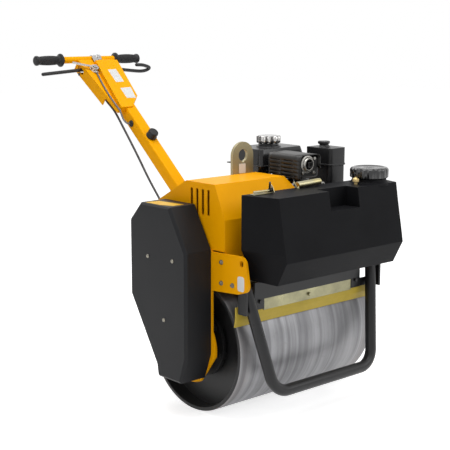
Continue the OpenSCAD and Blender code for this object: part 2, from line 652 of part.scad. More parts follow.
// Engine: hollow crankcase on four feet, with a post for each end of the fuel tank
crank_y = 45;
crank_z = deck_z + crank_h;
engine_feet_x = [60, 170];
engine_feet_y = [5, 105];
engine_bolt_r = 5;
case_x = [25, 205];
case_y = [-35, 128];
case_top_z = 640;
case_t = 6;
case_foot_t = 10;
case_foot_w = 14;
crank_r = 12.5;
tank_post_r = 10;
fuel_low_z = 700;
module crankcase() color(alloy) difference() {
    union() {
        slab_x(case_x[0], case_x[1], [[case_y[0], deck_z + case_foot_t], [case_y[1], deck_z + case_foot_t],
            [case_y[1], case_top_z - 2 * case_foot_w], [case_y[1] - 2 * case_foot_w, case_top_z],
            [case_y[0], case_top_z]]);
        block([case_x[0], case_y[0] - case_foot_w, deck_z], [case_x[1], case_y[1] + case_foot_w, deck_z + case_foot_t]);
        for (x = engine_feet_x) bar_z(case_top_z - cut, fuel_low_z, x, engine_feet_y[1] - 2 * case_foot_w, tank_post_r);
    }
    block([case_x[0] + case_t, case_y[0] + case_t, deck_z + case_foot_t], [case_x[1] - case_t,
        case_y[1] - case_t, case_top_z - 2 * case_foot_w]);
    bar_x(case_x[0] - cut, case_x[1] + cut, crank_y, crank_z, crank_r + run_gap);
    for (x = engine_feet_x, y = engine_feet_y) bar_z(deck_z - cut, deck_z + case_foot_t + cut, x, y, engine_bolt_r);
}
// Finned cylinder leaning forward from the crankcase, with the silver valve cover at its end
cyl_x = 105;
cyl_tilt = 25;
cyl_y = case_y[0];
cyl_z = 590;
cyl_l = 82;
fin_w = 104;
fin_n = 7;
fin_t = 3;
cyl_core = 76;
head_l = 14;
module engine_cylinder() color(alloy) difference() {
    translate([cyl_x, cyl_y, cyl_z]) rotate([90 - cyl_tilt, 0, 0]) {
        translate([-cyl_core / 2, -cyl_core / 2, -cyl_core / 2]) cube([cyl_core, cyl_core, cyl_l + cyl_core / 2]);
        for (i = [1 : fin_n]) translate([-fin_w / 2, -fin_w / 2, i * cyl_l / (fin_n + 0.5)]) cube([fin_w, fin_w, fin_t]);
        translate([-cyl_core / 2, -cyl_core / 2, cyl_l]) cube([cyl_core, cyl_core, head_l]);
    }
    bar_z(muffler_z[0] - exhaust_l, muffler_z[0], exhaust_x, exhaust_y, exhaust_r + seat_gap);
    bar_x(intake_x, cyl_x + fin_w, (carb_y[0] + carb_y[1]) / 2, intake_z, intake_r + seat_gap);
    block([cyl_x - fin_w, cyl_y, deck_z], [cyl_x + fin_w, case_y[1], case_top_z + fin_w]);
    translate([cyl_x, cyl_y, cyl_z]) rotate([90 - cyl_tilt, 0, 0]) translate([0, 0, cut]) cylinder(h = cyl_l - 2 * cut, r = cyl_core / 2 - 2 * case_t);
}
// Fan shroud round the flywheel, and the recoil starter's domed cover with its slots
shroud_r = 94;
shroud_t = 4;
shroud_x = [205, 240];
recoil_x = 284;
recoil_r = 84;
recoil_t = 3;
recoil_slots = 12;
recoil_slot_w = 6;
module fan_shroud() color(black) difference() {
    bar_x(shroud_x[0], shroud_x[1], crank_y, crank_z, shroud_r);
    bar_x(shroud_x[0] - cut, shroud_x[1] - shroud_t, crank_y, crank_z, shroud_r - shroud_t);
    bar_x(shroud_x[0], shroud_x[1] + cut, crank_y, crank_z, recoil_r - 4 * recoil_t);
}
grip_exit_y = 78;
rope_dir = [0, 0.35, 0.937];
module recoil_cover() color(black) difference() {
    union() {
        bar_x(shroud_x[1], recoil_x - 4 * recoil_t, crank_y, crank_z, recoil_r);
        translate([recoil_x - 4 * recoil_t, crank_y, crank_z]) rotate([0, 90, 0])
            cylinder(h = 4 * recoil_t, r1 = recoil_r, r2 = recoil_r - 4 * recoil_t);
    }
    bar_x(shroud_x[1] - cut, recoil_x - 5 * recoil_t, crank_y, crank_z, recoil_r - recoil_t);
    for (i = [0 : recoil_slots - 1]) translate([0, crank_y, crank_z]) rotate([i * 360 / recoil_slots, 0, 0])
        block([recoil_x - 6 * recoil_t, recoil_r / 3, -recoil_slot_w / 2], [recoil_x + cut, recoil_r * 0.72, recoil_slot_w / 2]);
    translate([recoil_at.x, recoil_at.y, recoil_at.z]) rotate([-atan(rope_dir.y / rope_dir.z), 0, 0])
        cylinder(h = 2 * recoil_t, r = rope_r + seat_gap, center = true);
}
rope_r = 2;
recoil_a = 69.5;
recoil_at = [262, crank_y + recoil_r * cos(recoil_a), crank_z + recoil_r * sin(recoil_a)];
rope_stub = 8;
grip_w = 58;
grip_bar_r = 9;
module recoil_rope() color("#d8d4c8") translate(recoil_at) rotate([-atan(rope_dir.y / rope_dir.z), 0, 0])
    cylinder(h = rope_stub, r = rope_r);
module recoil_grip() color(black) translate(recoil_at) rotate([-atan(rope_dir.y / rope_dir.z), 0, 0])
    translate([0, 0, rope_stub]) {
        cylinder(h = grip_bar_r, r = grip_bar_r * 0.7);
        translate([-grip_w / 3, 0, grip_bar_r * 1.6]) rotate([0, 90, 0]) cylinder(h = grip_w * 0.66, r = grip_bar_r);
    }
fuel_x = [0, fuel_tank_w];
fuel_y = [12, 166];
fuel_top_z = 780;
fuel_t = 3;
fuel_r = 16;
fuel_neck_r = 30;
fuel_cap_x = 100;
fuel_cap_y = 80;
fuel_cap_h = 24;
fuel_neck_h = 12;
module rounded_box(a, b, r) translate([a.x + r, a.y + r, a.z]) linear_extrude(b.z - a.z)
    offset(r) square([b.x - a.x - 2 * r, b.y - a.y - 2 * r]);
module fuel_tank() color(black) difference() {
    union() {
        rounded_box([fuel_x[0], fuel_y[0], fuel_low_z], [fuel_x[1], fuel_y[1], fuel_top_z], fuel_r);
        bar_z(fuel_top_z - fuel_t, fuel_top_z + fuel_neck_h, fuel_cap_x, fuel_cap_y, fuel_neck_r);
    }
    rounded_box([fuel_x[0] + fuel_t, fuel_y[0] + fuel_t, fuel_low_z + fuel_t],
        [fuel_x[1] - fuel_t, fuel_y[1] - fuel_t, fuel_top_z - fuel_t], fuel_r - fuel_t);
    bar_z(fuel_top_z - 2 * fuel_t, fuel_top_z + fuel_neck_h + cut, fuel_cap_x, fuel_cap_y, fuel_neck_r - fuel_t);
}
module fuel_cap() color("#c8cacc") difference() {
    bar_z(fuel_top_z + seat_gap, fuel_top_z + seat_gap + fuel_cap_h, fuel_cap_x, fuel_cap_y, fuel_cap_d / 2);
    bar_z(fuel_top_z, fuel_top_z + fuel_neck_h + fuel_t, fuel_cap_x, fuel_cap_y, fuel_neck_r + seat_gap);
}
// Exhaust silencer with its louvred heat shield and round outlet
muffler_x = [24, 108];
muffler_y = [-138, -6];
muffler_z = [700, 768];
muffler_t = 2;
outlet = [54, 747];
outlet_r = 20;
outlet_l = 10;
exhaust_x = 84;
exhaust_y = -70;
exhaust_r = 13;
module muffler() color("#2a2928") difference() {
    union() {
        rounded_box([muffler_x[0], muffler_y[0], muffler_z[0]], [muffler_x[1], muffler_y[1], muffler_z[1]], fuel_r / 2);
        bar_y(muffler_y[0] - outlet_l, muffler_y[0] + cut, outlet.x, outlet.y, outlet_r);
        bar_z(muffler_z[0] - exhaust_l, muffler_z[0] + cut, exhaust_x, exhaust_y, exhaust_r);
    }
    rounded_box([muffler_x[0] + muffler_t, muffler_y[0] + muffler_t, muffler_z[0] + muffler_t],
        [muffler_x[1] - muffler_t, muffler_y[1] - muffler_t, muffler_z[1] - muffler_t], fuel_r / 2 - muffler_t);
    bar_y(muffler_y[0] - outlet_l - cut, muffler_y[0] + 2 * muffler_t, outlet.x, outlet.y, outlet_r - muffler_t);
}
exhaust_l = 56;
shield_gap = 8;
shield_t = 1.5;
shield_rows = 5;
shield_slot_h = 4;
module muffler_shield() color("#26262a") difference() {
    x1 = muffler_x[0];
    union() {
        block([x1 - shield_gap, muffler_y[0] - shield_gap, muffler_z[0]], [x1 - shield_gap + shield_t, muffler_y[1], muffler_z[1] + shield_gap]);
        block([x1 - shield_gap, muffler_y[0] - shield_gap, muffler_z[1] + shield_gap - shield_t],
            [muffler_x[1], muffler_y[1], muffler_z[1] + shield_gap]);
        for (y = [muffler_y[0] / 4, muffler_y[0] * 0.75]) bar_x(x1 - shield_gap, x1, y, outlet.y, shield_gap / 2);
    }
    for (i = [0 : shield_rows - 1]) block([x1 - shield_gap - cut, muffler_y[0] + shield_gap,
        muffler_z[0] + (i + 0.7) * (muffler_z[1] - muffler_z[0]) / (shield_rows + 0.6)],
        [x1 - shield_gap + shield_t + cut, muffler_y[1] - 6 * shield_gap, muffler_z[0] + shield_slot_h
            + (i + 0.7) * (muffler_z[1] - muffler_z[0]) / (shield_rows + 0.6)]);
}
air_x = [176, 250];
air_y = [-122, -22];
air_low_z = 660;
air_seam_z = 727;
air_top_z = 783;
air_t = 3;
air_r = 14;
air_knob_r = 21;
air_knob_h = 20;
air_knob_off = 12;
module air_cleaner_base() color(black) difference() {
    rounded_box([air_x[0], air_y[0], air_low_z], [air_x[1], air_y[1], air_seam_z], air_r);
    rounded_box([air_x[0] + air_t, air_y[0] + air_t, air_low_z + air_t], [air_x[1] - air_t, air_y[1] - air_t, air_seam_z + cut], air_r - air_t);
}
module air_cleaner_lid() color(black) {
    z0 = air_seam_z + seat_gap;
    mid = [(air_x[0] + air_x[1]) / 2, (air_y[0] + air_y[1]) / 2];
    difference() {
        rounded_box([air_x[0] - air_t, air_y[0] - air_t, z0], [air_x[1] + air_t, air_y[1] + air_t, air_top_z], air_r + air_t);
        rounded_box([air_x[0], air_y[0], z0 - cut], [air_x[1], air_y[1], air_top_z - air_t], air_r);
    }
    bar_z(air_top_z - cut, air_top_z + air_knob_h, mid.x - air_knob_off, mid.y, air_knob_r / 2);
    bar_z(air_top_z + air_knob_h / 2, air_top_z + air_knob_h, mid.x - air_knob_off, mid.y, air_knob_r);
}
// Carburettor between the cylinder and the air cleaner, with the choke and fuel levers on its side
carb_x = [159, 206];
carb_y = [-96, -52];
carb_low_z = 620;
intake_z = 634;
intake_r = 11;
intake_seat = 1;
intake_x = cyl_x + cyl_core / 2 - intake_seat;
carb_bowl_r = 18;
module carburettor() color(alloy) {
    block([carb_x[0], carb_y[0], carb_low_z], [carb_x[1], carb_y[1], air_low_z]);
    bar_x(intake_x, carb_x[0] + cut, (carb_y[0] + carb_y[1]) / 2, intake_z, intake_r);
    bar_z(carb_low_z - carb_bowl_r, carb_low_z, (carb_x[0] + carb_x[1]) / 2, (carb_y[0] + carb_y[1]) / 2, carb_bowl_r);
    for (z = [choke_z, valve_z]) bar_y(carb_y[0] - lever_stub, carb_y[0], choke_x, z, lever_pin_r);
}
lever_stub = 12;
lever_pin_r = 3;
choke_x = 190;
choke_z = 649;
valve_z = 626;
small_lever_l = 30;
small_lever_t = 4;
small_lever_r = 7;
module small_lever(z, dir) {
    y1 = carb_y[0] - lever_stub / 3;
    difference() {
        union() {
            bar_y(y1 - small_lever_t, y1, choke_x, z, small_lever_r);
            block([choke_x, y1 - small_lever_t, z - small_lever_t], [choke_x + dir * small_lever_l, y1, z + small_lever_t]);
        }
        bar_y(y1 - small_lever_t - cut, y1 + cut, choke_x, z, lever_pin_r + run_gap);
    }
}
module choke_lever() color("#3a3a3c") small_lever(choke_z, 1);
module fuel_valve_lever() color("#3a3a3c") small_lever(valve_z, 1);
plug_r = 11;
plug_l = 28;
module spark_plug_cap() color(black) translate([cyl_x, cyl_y, cyl_z]) rotate([90 - cyl_tilt, 0, 0])
    translate([plug_r, -plug_r, cyl_l + head_l]) {
        cylinder(h = plug_l, r = plug_r);
        translate([0, 0, plug_l - plug_r]) rotate([0, -90, 0]) cylinder(h = plug_l, r = plug_r * 0.9);
    }
// Ignition switch: a red knob on its black box at the rear of the crankcase
switch_x = 170;
switch_z = 600;
switch_box = 34;
switch_r = 12;
switch_h = 10;
module engine_switch() color("#b3261e") {
    y0 = case_y[1] + seat_gap;
    bar_y(y0, y0 + switch_h, switch_x, switch_z, switch_r);
    block([switch_x - switch_r / 4, y0 + switch_h, switch_z - switch_r], [switch_x + switch_r / 4, y0 + 2 * switch_h, switch_z + switch_r]);
}

// V-belt pulley along X: rim with a groove, web and boss, at belt plane x
belt_w = 8;
belt_h = 8;
groove_gap = 0.8;
pulley_w = 18;
rim_lip = 1;
module pulley(x, y, z, r, bore) translate([x, y, z]) rotate([0, 90, 0]) difference() {
    translate([0, 0, -pulley_w / 2]) cylinder(h = pulley_w, r = r + belt_h / 4 + rim_lip);
    translate([0, 0, -belt_w / 2 - groove_gap]) difference() {
        cylinder(h = belt_w + 2 * groove_gap, r = r + belt_h);
        translate([0, 0, -cut]) cylinder(h = belt_w + 2 * groove_gap + 2 * cut, r = r - belt_h * 0.75 - groove_gap);
    }
    translate([0, 0, -pulley_w]) cylinder(h = 2 * pulley_w, r = bore);
}
module loop_outline(a, ra, b, rb, grow) hull() {
    translate(a) circle(r = ra + grow);
    translate(b) circle(r = rb + grow);
}
module belt(x, a, ra, b, rb, w, inner, outer) translate([x - w / 2, 0, 0]) rotate([90, 0, 90]) linear_extrude(w) difference() {
    loop_outline(a, ra, b, rb, outer);
    loop_outline(a, ra, b, rb, inner);
}
upper_belt_x = -22;
outer_belt_out = 56;
chain_out = 21;
outer_belt_x = -(plate_out_x + outer_belt_out);
chain_x = -(plate_out_x + chain_out);
jack_out_pulley_r = 1.2 * exciter_pulley_r;
pinion_r = drum_sprocket_r / 2;
chain_w = 7;
chain_h = 6;
tooth_h = 2.5;
teeth = 32;
module upper_belt() color("#1a1a1a") belt(upper_belt_x, [crank_y, crank_z], upper_pulley_r, [jack_y, jack_z], upper_pulley_r,
    belt_w, -belt_h * 0.75, belt_h / 4);
module exciter_belt() color("#1a1a1a") belt(outer_belt_x, [0, axle_z], exciter_pulley_r, [jack_y, jack_z], jack_out_pulley_r,
    belt_w, -belt_h * 0.75, belt_h / 4);
module drive_chain() color("#4a4846") belt(chain_x, [0, axle_z], drum_sprocket_r, [pinion_y, pinion_z], pinion_r,
    chain_w, tooth_h + seat_gap, chain_h);
module sprocket(r, n, bore, w) translate([chain_x - w / 2, 0, 0]) rotate([90, 0, 90]) difference() {
    linear_extrude(w) polygon([for (i = [0 : 4 * n - 1]) let (a = i * 90 / n, q = i % 4, rr = q < 2 ? r + tooth_h : r - tooth_h) [rr * cos(a), rr * sin(a)]]);
    translate([0, 0, -cut]) cylinder(h = w + 2 * cut, r = bore);
}
// Transmission: hollow case in the deck's well, carrying the through shaft and the output shaft
trans_x = [-plate_in_x, -134];
trans_y = [-66, 118];
trans_z = [438, 545];
trans_t = 10;
// Slope at the front top corner, along Y and down
trans_slope_y = 40;
trans_slope_z = 22;
shaft_r = 12;
out_shaft_r = 12;
module transmission() color(alloy) difference() {
    slab_x(trans_x[0], trans_x[1], [[trans_y[0], trans_z[0]], [trans_y[1], trans_z[0]], [trans_y[1], trans_z[1]],
        [trans_y[0] + trans_slope_y, trans_z[1]], [trans_y[0], trans_z[1] - trans_slope_z]]);
    block([trans_x[0] + trans_t, trans_y[0] + trans_t, trans_z[0] + trans_t], [trans_x[1] - trans_t, trans_y[1] - trans_t, trans_z[1] - 3 * trans_t]);
    bar_x(trans_x[0] - cut, trans_x[1] + cut, jack_y, jack_z, shaft_r + run_gap);
    bar_x(trans_x[0] - cut, trans_x[0] + trans_t + cut, pinion_y, pinion_z, out_shaft_r + run_gap);
}
module jackshaft() color(steel) {
    bar_x(outer_belt_x - pulley_w / 2, upper_belt_x + pulley_w / 2, jack_y, jack_z, shaft_r);
    pulley(upper_belt_x, jack_y, jack_z, upper_pulley_r, shaft_r - cut);
    pulley(outer_belt_x, jack_y, jack_z, jack_out_pulley_r, shaft_r - cut);
}
module pinion() color(steel) {
    bar_x(chain_x - chain_w / 2, trans_x[0] + 2 * trans_t, pinion_y, pinion_z, out_shaft_r);
    translate([0, pinion_y, pinion_z]) sprocket(pinion_r, teeth / 2, out_shaft_r - cut, chain_w);
}
pto_r = 10;
module clutch_pulley() color(steel) pulley(upper_belt_x, crank_y, crank_z, upper_pulley_r, pto_r + run_gap);
flywheel_r = 70;
flywheel_w = 18;
module crankshaft() color(steel) {
    bar_x(upper_belt_x - pulley_w / 2 - cut, case_x[0] - cut, crank_y, crank_z, pto_r);
    bar_x(case_x[0] - cut, shroud_x[1] - 2 * shroud_t, crank_y, crank_z, crank_r);
    bar_x(case_x[1] + cut, case_x[1] + cut + flywheel_w, crank_y, crank_z, flywheel_r);
    slab_x(cyl_x - flywheel_w, cyl_x + flywheel_w, arc(crank_y, crank_z, 2 * crank_r, 180, 360, 12));
}

// Bearing housings pressed through both side plates round the drum's journals
journal_r = 32;
bearing_flange_r = 68;
bearing_flange_t = 6;
bearing_out = 2;
bearing_in = 16;
module bearing_housings() color("#55565a") for (s = [0, 1]) mirror([s, 0, 0]) difference() {
    union() {
        bar_x(plate_in_x - bearing_in, plate_out_x + bearing_out, 0, axle_z, bearing_r);
        bar_x(plate_in_x - bearing_flange_t, plate_in_x, 0, axle_z, bearing_flange_r);
    }
    bar_x(plate_in_x - bearing_in - cut, plate_out_x + bearing_out + cut, 0, axle_z, journal_r + run_gap);
}

// Drum: rolled shell with a web at the bottom of each recess and a tube for the exciter between them
web_t = 10;
exciter_tube_r = 46;
exciter_tube_t = 5;
exciter_r = 14;
module drum_shell() color("#c4c5c8") difference() {
    bar_x(-drum_w / 2, drum_w / 2, 0, axle_z, drum_d / 2);
    for (s = [0, 1]) mirror([s, 0, 0]) bar_x(drum_w / 2 - drum_recess, drum_w / 2 + cut, 0, axle_z, drum_d / 2 - drum_wall);
    difference() {
        bar_x(-drum_w / 2 + drum_recess + web_t, drum_w / 2 - drum_recess - web_t, 0, axle_z, drum_d / 2 - drum_wall);
        bar_x(-drum_w / 2, drum_w / 2, 0, axle_z, exciter_tube_r);
    }
    bar_x(-drum_w / 2, drum_w / 2, 0, axle_z, exciter_tube_r - exciter_tube_t);
}
hub_t = 10;
hub_gap = 12;
hub_bolts = 6;
hub_bolt_pcd_r = 85;
hub_bush_r = 16;
hub_bolt_head_r = 9;
hub_bolt_first = 198;
hub_out_x = drum_w / 2 - drum_recess + hub_gap + hub_t;
module drum_hubs() color(black) for (s = [0, 1]) mirror([s, 0, 0]) {
    web_x = drum_w / 2 - drum_recess;
    far = s == 1 ? -chain_x + chain_w / 2 : plate_out_x + 2 * bearing_out + journal_r / 3;
    difference() {
        union() {
            bar_x(web_x + hub_gap, hub_out_x, 0, axle_z, hub_r);
            bar_x(web_x + hub_gap, far, 0, axle_z, journal_r);
            for (i = [0 : hub_bolts - 1]) let (a = hub_bolt_first + i * 360 / hub_bolts,
                    y = hub_bolt_pcd_r * cos(a), z = axle_z + hub_bolt_pcd_r * sin(a)) {
                bar_x(web_x, web_x + hub_gap, y, z, hub_bush_r);
                bolt_x(hub_out_x, y, z, hub_bolt_head_r, 1);
            }
        }
        bar_x(web_x, s == 1 ? far + cut : far - journal_r / 3, 0, axle_z, exciter_r + run_gap);
    }
}
module drum_sprocket() color(steel) translate([0, 0, axle_z]) sprocket(drum_sprocket_r, teeth, journal_r + run_gap, chain_w);
mass_l = 260;
mass_r = 38;
module exciter_shaft() color(steel) {
    bar_x(outer_belt_x - pulley_w / 2, plate_out_x, 0, axle_z, exciter_r);
    slab_x(-mass_l / 2, mass_l / 2, [for (p = arc(0, axle_z, mass_r, 180, 360, 24)) p]);
    pulley(outer_belt_x, 0, axle_z, exciter_pulley_r, exciter_r - cut);
}

// Handle: a pole on a pivot pin, a folded console, a cross bar with two grips and the controls
module on_pole() translate([0, lug_y, lug_z]) rotate([pole_slope, 0, 0]) children();
console_slope = 35.1;
// Handlebar's place past the pole's end, along the console and out from it
bar_ahead = 280.902;
bar_up = 1.3;
bar_y0 = lug_y + pole_l * cos(pole_slope) + bar_ahead * cos(console_slope) - bar_up * sin(console_slope);
bar_z0 = lug_z + pole_l * sin(pole_slope) + bar_ahead * sin(console_slope) + bar_up * cos(console_slope);
module on_console() translate([0, bar_y0, bar_z0]) rotate([console_slope, 0, 0]) children();
pole_t = 3;
pole_eye_r = 20;
module handle_pole() color(paint) on_pole() {
    difference() {
        union() {
            block([-pole_d / 2, 0, -pole_d / 2], [pole_d / 2, pole_l, pole_d / 2]);
            bar_x(-lug_in_x + lug_gap, lug_in_x - lug_gap, 0, 0, pole_d / 2);
        }
        block([-pole_d / 2 + pole_t, pole_eye_r + pole_t, -pole_d / 2 + pole_t],
            [pole_d / 2 - pole_t, pole_l - pole_t, pole_d / 2 - pole_t]);
    }
    bar_x(-lug_in_x - lug_t - cut, lug_in_x + lug_t + cut, 0, 0, pivot_r);
}
console_l = 310;
console_right_x = -57;
console_left_x = 100;
console_low_left_x = 60;
console_corner = 58;
console_corner_x = 2;
console_t = 3;
console_h = 44;
// The deep part of the console ends short of its lower end, which is shallow
console_deep_l = 225;
console_low_h = 12;
console_z = 10;
plate_edge = 1;
plate_top_y = -36;
plate_top_x = 2;
plate_low_x = -49;
plate_h = 14;
lever_y = -47;
lever_z = -11;
lever_pivot_z = -30;
lever_pivot_r = 6;
lever_r = 6.5;
lever_slot = 12;
bar_gap = 0.5;
function console_plan(i) = [[console_right_x + i, -bar_d / 2 - bar_gap - i], [console_right_x + i, -console_l + i],
    [console_corner_x, -console_l + i], [console_low_left_x - i, -console_l + console_corner],
    [console_left_x - i, lever_y], [console_left_x - i, -bar_d / 2 - bar_gap - i]];
module handle_console() color(paint) difference() {
    on_console() difference() {
        union() {
            translate([0, 0, console_z - console_h]) linear_extrude(console_h) polygon(console_plan(0));
            translate([0, 0, console_z]) linear_extrude(plate_h) polygon([[plate_top_x, plate_top_y],
                [plate_low_x, -console_l + plate_edge], [console_corner_x - plate_edge, -console_l + plate_edge],
                [console_low_left_x - plate_edge, -console_l + console_corner],
                [console_left_x - plate_edge, lever_y], [console_left_x - plate_edge, plate_top_y]]);
        }
        translate([0, 0, console_z - console_h - cut]) linear_extrude(console_h - console_t + cut)
            polygon(console_plan(console_t));
        block([console_right_x - cut, lever_y - lever_r - lever_slot, lever_z - lever_r - lever_slot / 4],
            [console_left_x + cut, lever_y + lever_r + lever_slot, lever_z + lever_r + lever_slot / 6]);
        bar_x(console_right_x - cut, console_left_x + cut, lever_y, lever_pivot_z, lever_pivot_r + run_gap);
        bar_x(clamp_x - seat_gap, clamp_x + clamp_w + seat_gap, 0, 0, clamp_r + seat_gap);
        block([console_right_x - cut, -console_l - cut, console_z - console_h - cut],
            [console_left_x + cut, -console_deep_l, console_z - console_low_h]);
    }
    on_pole() block([-pole_d / 2 - bar_gap / 2, 0, -pole_d / 2 - bar_gap / 2],
        [pole_d / 2 + bar_gap / 2, pole_l + bar_gap, pole_d / 2 + bar_gap / 2]);
}
module handlebar() color(paint) on_console() bar_x(-bar_l / 2 + 2 * grip_t, bar_l / 2 - 2 * grip_t, 0, 0, bar_d / 2);
grip_t = 4;
grip_flange_r = 24;
grip_flange_w = 12;
module grips() color(black) on_console() for (s = [0, 1]) mirror([s, 0, 0]) difference() {
    union() {
        bar_x(bar_l / 2 - grip_l, bar_l / 2, 0, 0, grip_d / 2);
        bar_x(bar_l / 2 - grip_l, bar_l / 2 - grip_l + grip_flange_w, 0, 0, grip_flange_r);
    }
    bar_x(bar_l / 2 - grip_l - cut, bar_l / 2 - 2 * grip_t + run_gap, 0, 0, bar_d / 2 + run_gap);
}
buffer_u = pole_l - 164;
buffer_r = 20;
buffer_h = 26;
grommet_u = pole_l - 82;
grommet_r = 12;
module handle_buffer() color(black) on_pole() {
    bar_z(pole_d / 2, pole_d / 2 + buffer_h, 0, buffer_u, buffer_r);
    bar_x(-pole_d / 2 - grommet_r / 2, -pole_d / 2, grommet_u, 0, grommet_r);
}
clamp_x = 14;
clamp_w = 36;
clamp_r = 17;
// Throttle: a friction disc on the console's top sheet, with an arm that turns on its pin
throttle_x = -22;
throttle_y = -75;
throttle_r = 14;
throttle_base_h = 6;
throttle_disc_h = 8;
throttle_pin_r = 4;
throttle_l = 84;
throttle_w = 9;
throttle_t = 4;
throttle_turn = 159;
module throttle_clamp() color(zinc) on_console() {
    difference() {
        bar_x(clamp_x, clamp_x + clamp_w, 0, 0, clamp_r);
        bar_x(clamp_x - cut, clamp_x + clamp_w + cut, 0, 0, bar_d / 2 + run_gap);
    }
    bar_z(console_z, console_z + throttle_base_h, throttle_x, throttle_y, throttle_r);
    bar_z(console_z, console_z + throttle_base_h + throttle_disc_h + 2 * throttle_t, throttle_x, throttle_y, throttle_pin_r);
}
module throttle_lever() color("#c8cacc") on_console() {
    z0 = console_z + throttle_base_h + seat_gap;
    z1 = z0 + throttle_disc_h;
    difference() {
        union() {
            bar_z(z0, z1, throttle_x, throttle_y, throttle_r);
            translate([throttle_x, throttle_y, 0]) rotate(throttle_turn)
                block([0, -throttle_w / 2, z1 - throttle_t], [throttle_l, throttle_w / 2, z1]);
        }
        bar_z(z0 - cut, z1 + cut, throttle_x, throttle_y, throttle_pin_r + run_gap);
    }
}
lever_tip_x = [-214, 262];
lever_tip_drop = 14;
lever_neck_x = 12;
lever_web_x = 30;
lever_hook = 34;
module travel_lever() color(black) on_console() {
    y = lever_y;
    bar_x(console_right_x - cut, console_left_x + cut, y, lever_pivot_z, lever_pivot_r);
    for (x = [console_right_x + lever_web_x, console_left_x - lever_web_x])
        block([x - console_t, y - lever_r, lever_pivot_z - lever_r], [x + console_t, y + lever_r, lever_z]);
    tube_along(route([[lever_tip_x[0], y, lever_z - lever_tip_drop], [console_right_x - lever_neck_x, y, lever_z - lever_r / 6],
        [console_right_x + lever_neck_x, y, lever_z], [console_left_x - lever_neck_x, y, lever_z],
        [console_left_x + lever_neck_x, y, lever_z - lever_r / 6], [lever_tip_x[1] - lever_hook, y, lever_z - lever_tip_drop],
        [lever_tip_x[1], y, lever_z], [lever_tip_x[1] - lever_hook, y, lever_z + lever_tip_drop],
        [lever_tip_x[1] - 2 * lever_hook, y, lever_z + 1.2 * lever_tip_drop]], 5), lever_r, 12);
}

// Cables: the travel cable from the console to the transmission, the throttle cable into the pole
cable_r = 4;
cable_in_x = -210;
cable_end_gap = 1;
cable_in_z = 515;
cable_points = [[-20, bar_y0 - 127.5, bar_z0 - 127.7], [-26, bar_y0 - 148, bar_z0 - 145], [-40, bar_y0 - 214, bar_z0 - 177],
    [-40, bar_y0 - 268, bar_z0 - 236], [-40, bar_y0 - 341, bar_z0 - 320], [-42, bar_y0 - 409, bar_z0 - 399],
    [-48, 466, 580], [-66, 400, 536], [-104, 300, 520], [-160, 215, 516], [cable_in_x, 150, cable_in_z],
    [cable_in_x, trans_y[1] + cable_end_gap, cable_in_z]];
module control_cable() color(black) tube_along(route(cable_points, 5), cable_r, 8);
throttle_cable_r = 3;
throttle_points = [[-24, -89.5, 15], [-27, -110, 14], [-40, -170, 14], [-50, -240, 14], [-54, -296, 14.3], [-54, -313, 13.8],
    [-52, -326, 5], [-49, -342, -5], [-43, -357, -9.5], [-30, -362, -10.3]];
module throttle_cable() color("#77787c") on_console() tube_along(route(throttle_points, 4), throttle_cable_r, 8);

right_side_plate();
left_side_plate();
engine_deck();
lifting_eye();
belt_hood();
drive_cover();
frame_bolts();
guard_hoop();
scraper_blade();
scraper_clamp();
scraper_brackets();
water_tank();
tank_strap();
brass_fitting();
sprinkler_pipe();
water_hose();
water_tap_lever();
crankcase();
engine_cylinder();
fan_shroud();
recoil_cover();
fuel_tank();
muffler();
muffler_shield();
air_cleaner_base();
air_cleaner_lid();
carburettor();
spark_plug_cap();
upper_belt();
transmission();
drive_chain();
exciter_belt();
bearing_housings();
drum_shell();
drum_hubs();
drum_sprocket();
exciter_shaft();
jackshaft();
pinion();
clutch_pulley();
crankshaft();
handle_pole();
handle_console();
handlebar();
grips();
handle_buffer();
throttle_clamp();
travel_lever();
throttle_lever();
control_cable();
throttle_cable();
water_cap();
fuel_cap();
parking_stand();
recoil_grip();
recoil_rope();
latch_lever();
choke_lever();
fuel_valve_lever();
engine_switch();
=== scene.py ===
# Walk-behind vibratory roller: the looks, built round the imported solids. Lengths are in metres.
import math

import bmesh
import bpy
from mathutils import Matrix, Vector


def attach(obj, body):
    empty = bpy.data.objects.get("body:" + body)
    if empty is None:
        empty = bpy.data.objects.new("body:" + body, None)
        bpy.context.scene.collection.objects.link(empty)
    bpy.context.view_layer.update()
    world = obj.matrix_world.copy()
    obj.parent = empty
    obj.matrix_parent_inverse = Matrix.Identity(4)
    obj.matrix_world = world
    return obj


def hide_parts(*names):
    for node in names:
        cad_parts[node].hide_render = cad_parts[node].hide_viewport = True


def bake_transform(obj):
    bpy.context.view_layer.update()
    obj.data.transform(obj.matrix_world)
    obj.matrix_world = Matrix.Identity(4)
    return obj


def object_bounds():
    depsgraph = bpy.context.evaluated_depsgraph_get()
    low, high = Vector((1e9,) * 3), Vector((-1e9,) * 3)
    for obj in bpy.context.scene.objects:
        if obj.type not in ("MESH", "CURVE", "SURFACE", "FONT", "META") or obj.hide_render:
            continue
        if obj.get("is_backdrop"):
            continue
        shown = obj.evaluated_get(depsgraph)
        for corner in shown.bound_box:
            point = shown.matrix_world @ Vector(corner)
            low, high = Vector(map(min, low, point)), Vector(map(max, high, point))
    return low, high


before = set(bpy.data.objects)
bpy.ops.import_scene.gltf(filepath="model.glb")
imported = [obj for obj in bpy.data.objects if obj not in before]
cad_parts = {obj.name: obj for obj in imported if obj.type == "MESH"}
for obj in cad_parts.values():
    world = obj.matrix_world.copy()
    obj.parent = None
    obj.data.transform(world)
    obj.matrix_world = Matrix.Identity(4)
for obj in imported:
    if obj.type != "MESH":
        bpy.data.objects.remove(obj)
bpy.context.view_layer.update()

# Camera. It stands in front of the machine's right corner, a little above the handlebar, where the
# fit to the drum, hoop, tank and handlebar puts it. Place in metres, lens and sensor in millimetres.
camera = bpy.data.objects.new("camera", bpy.data.cameras.new("camera"))
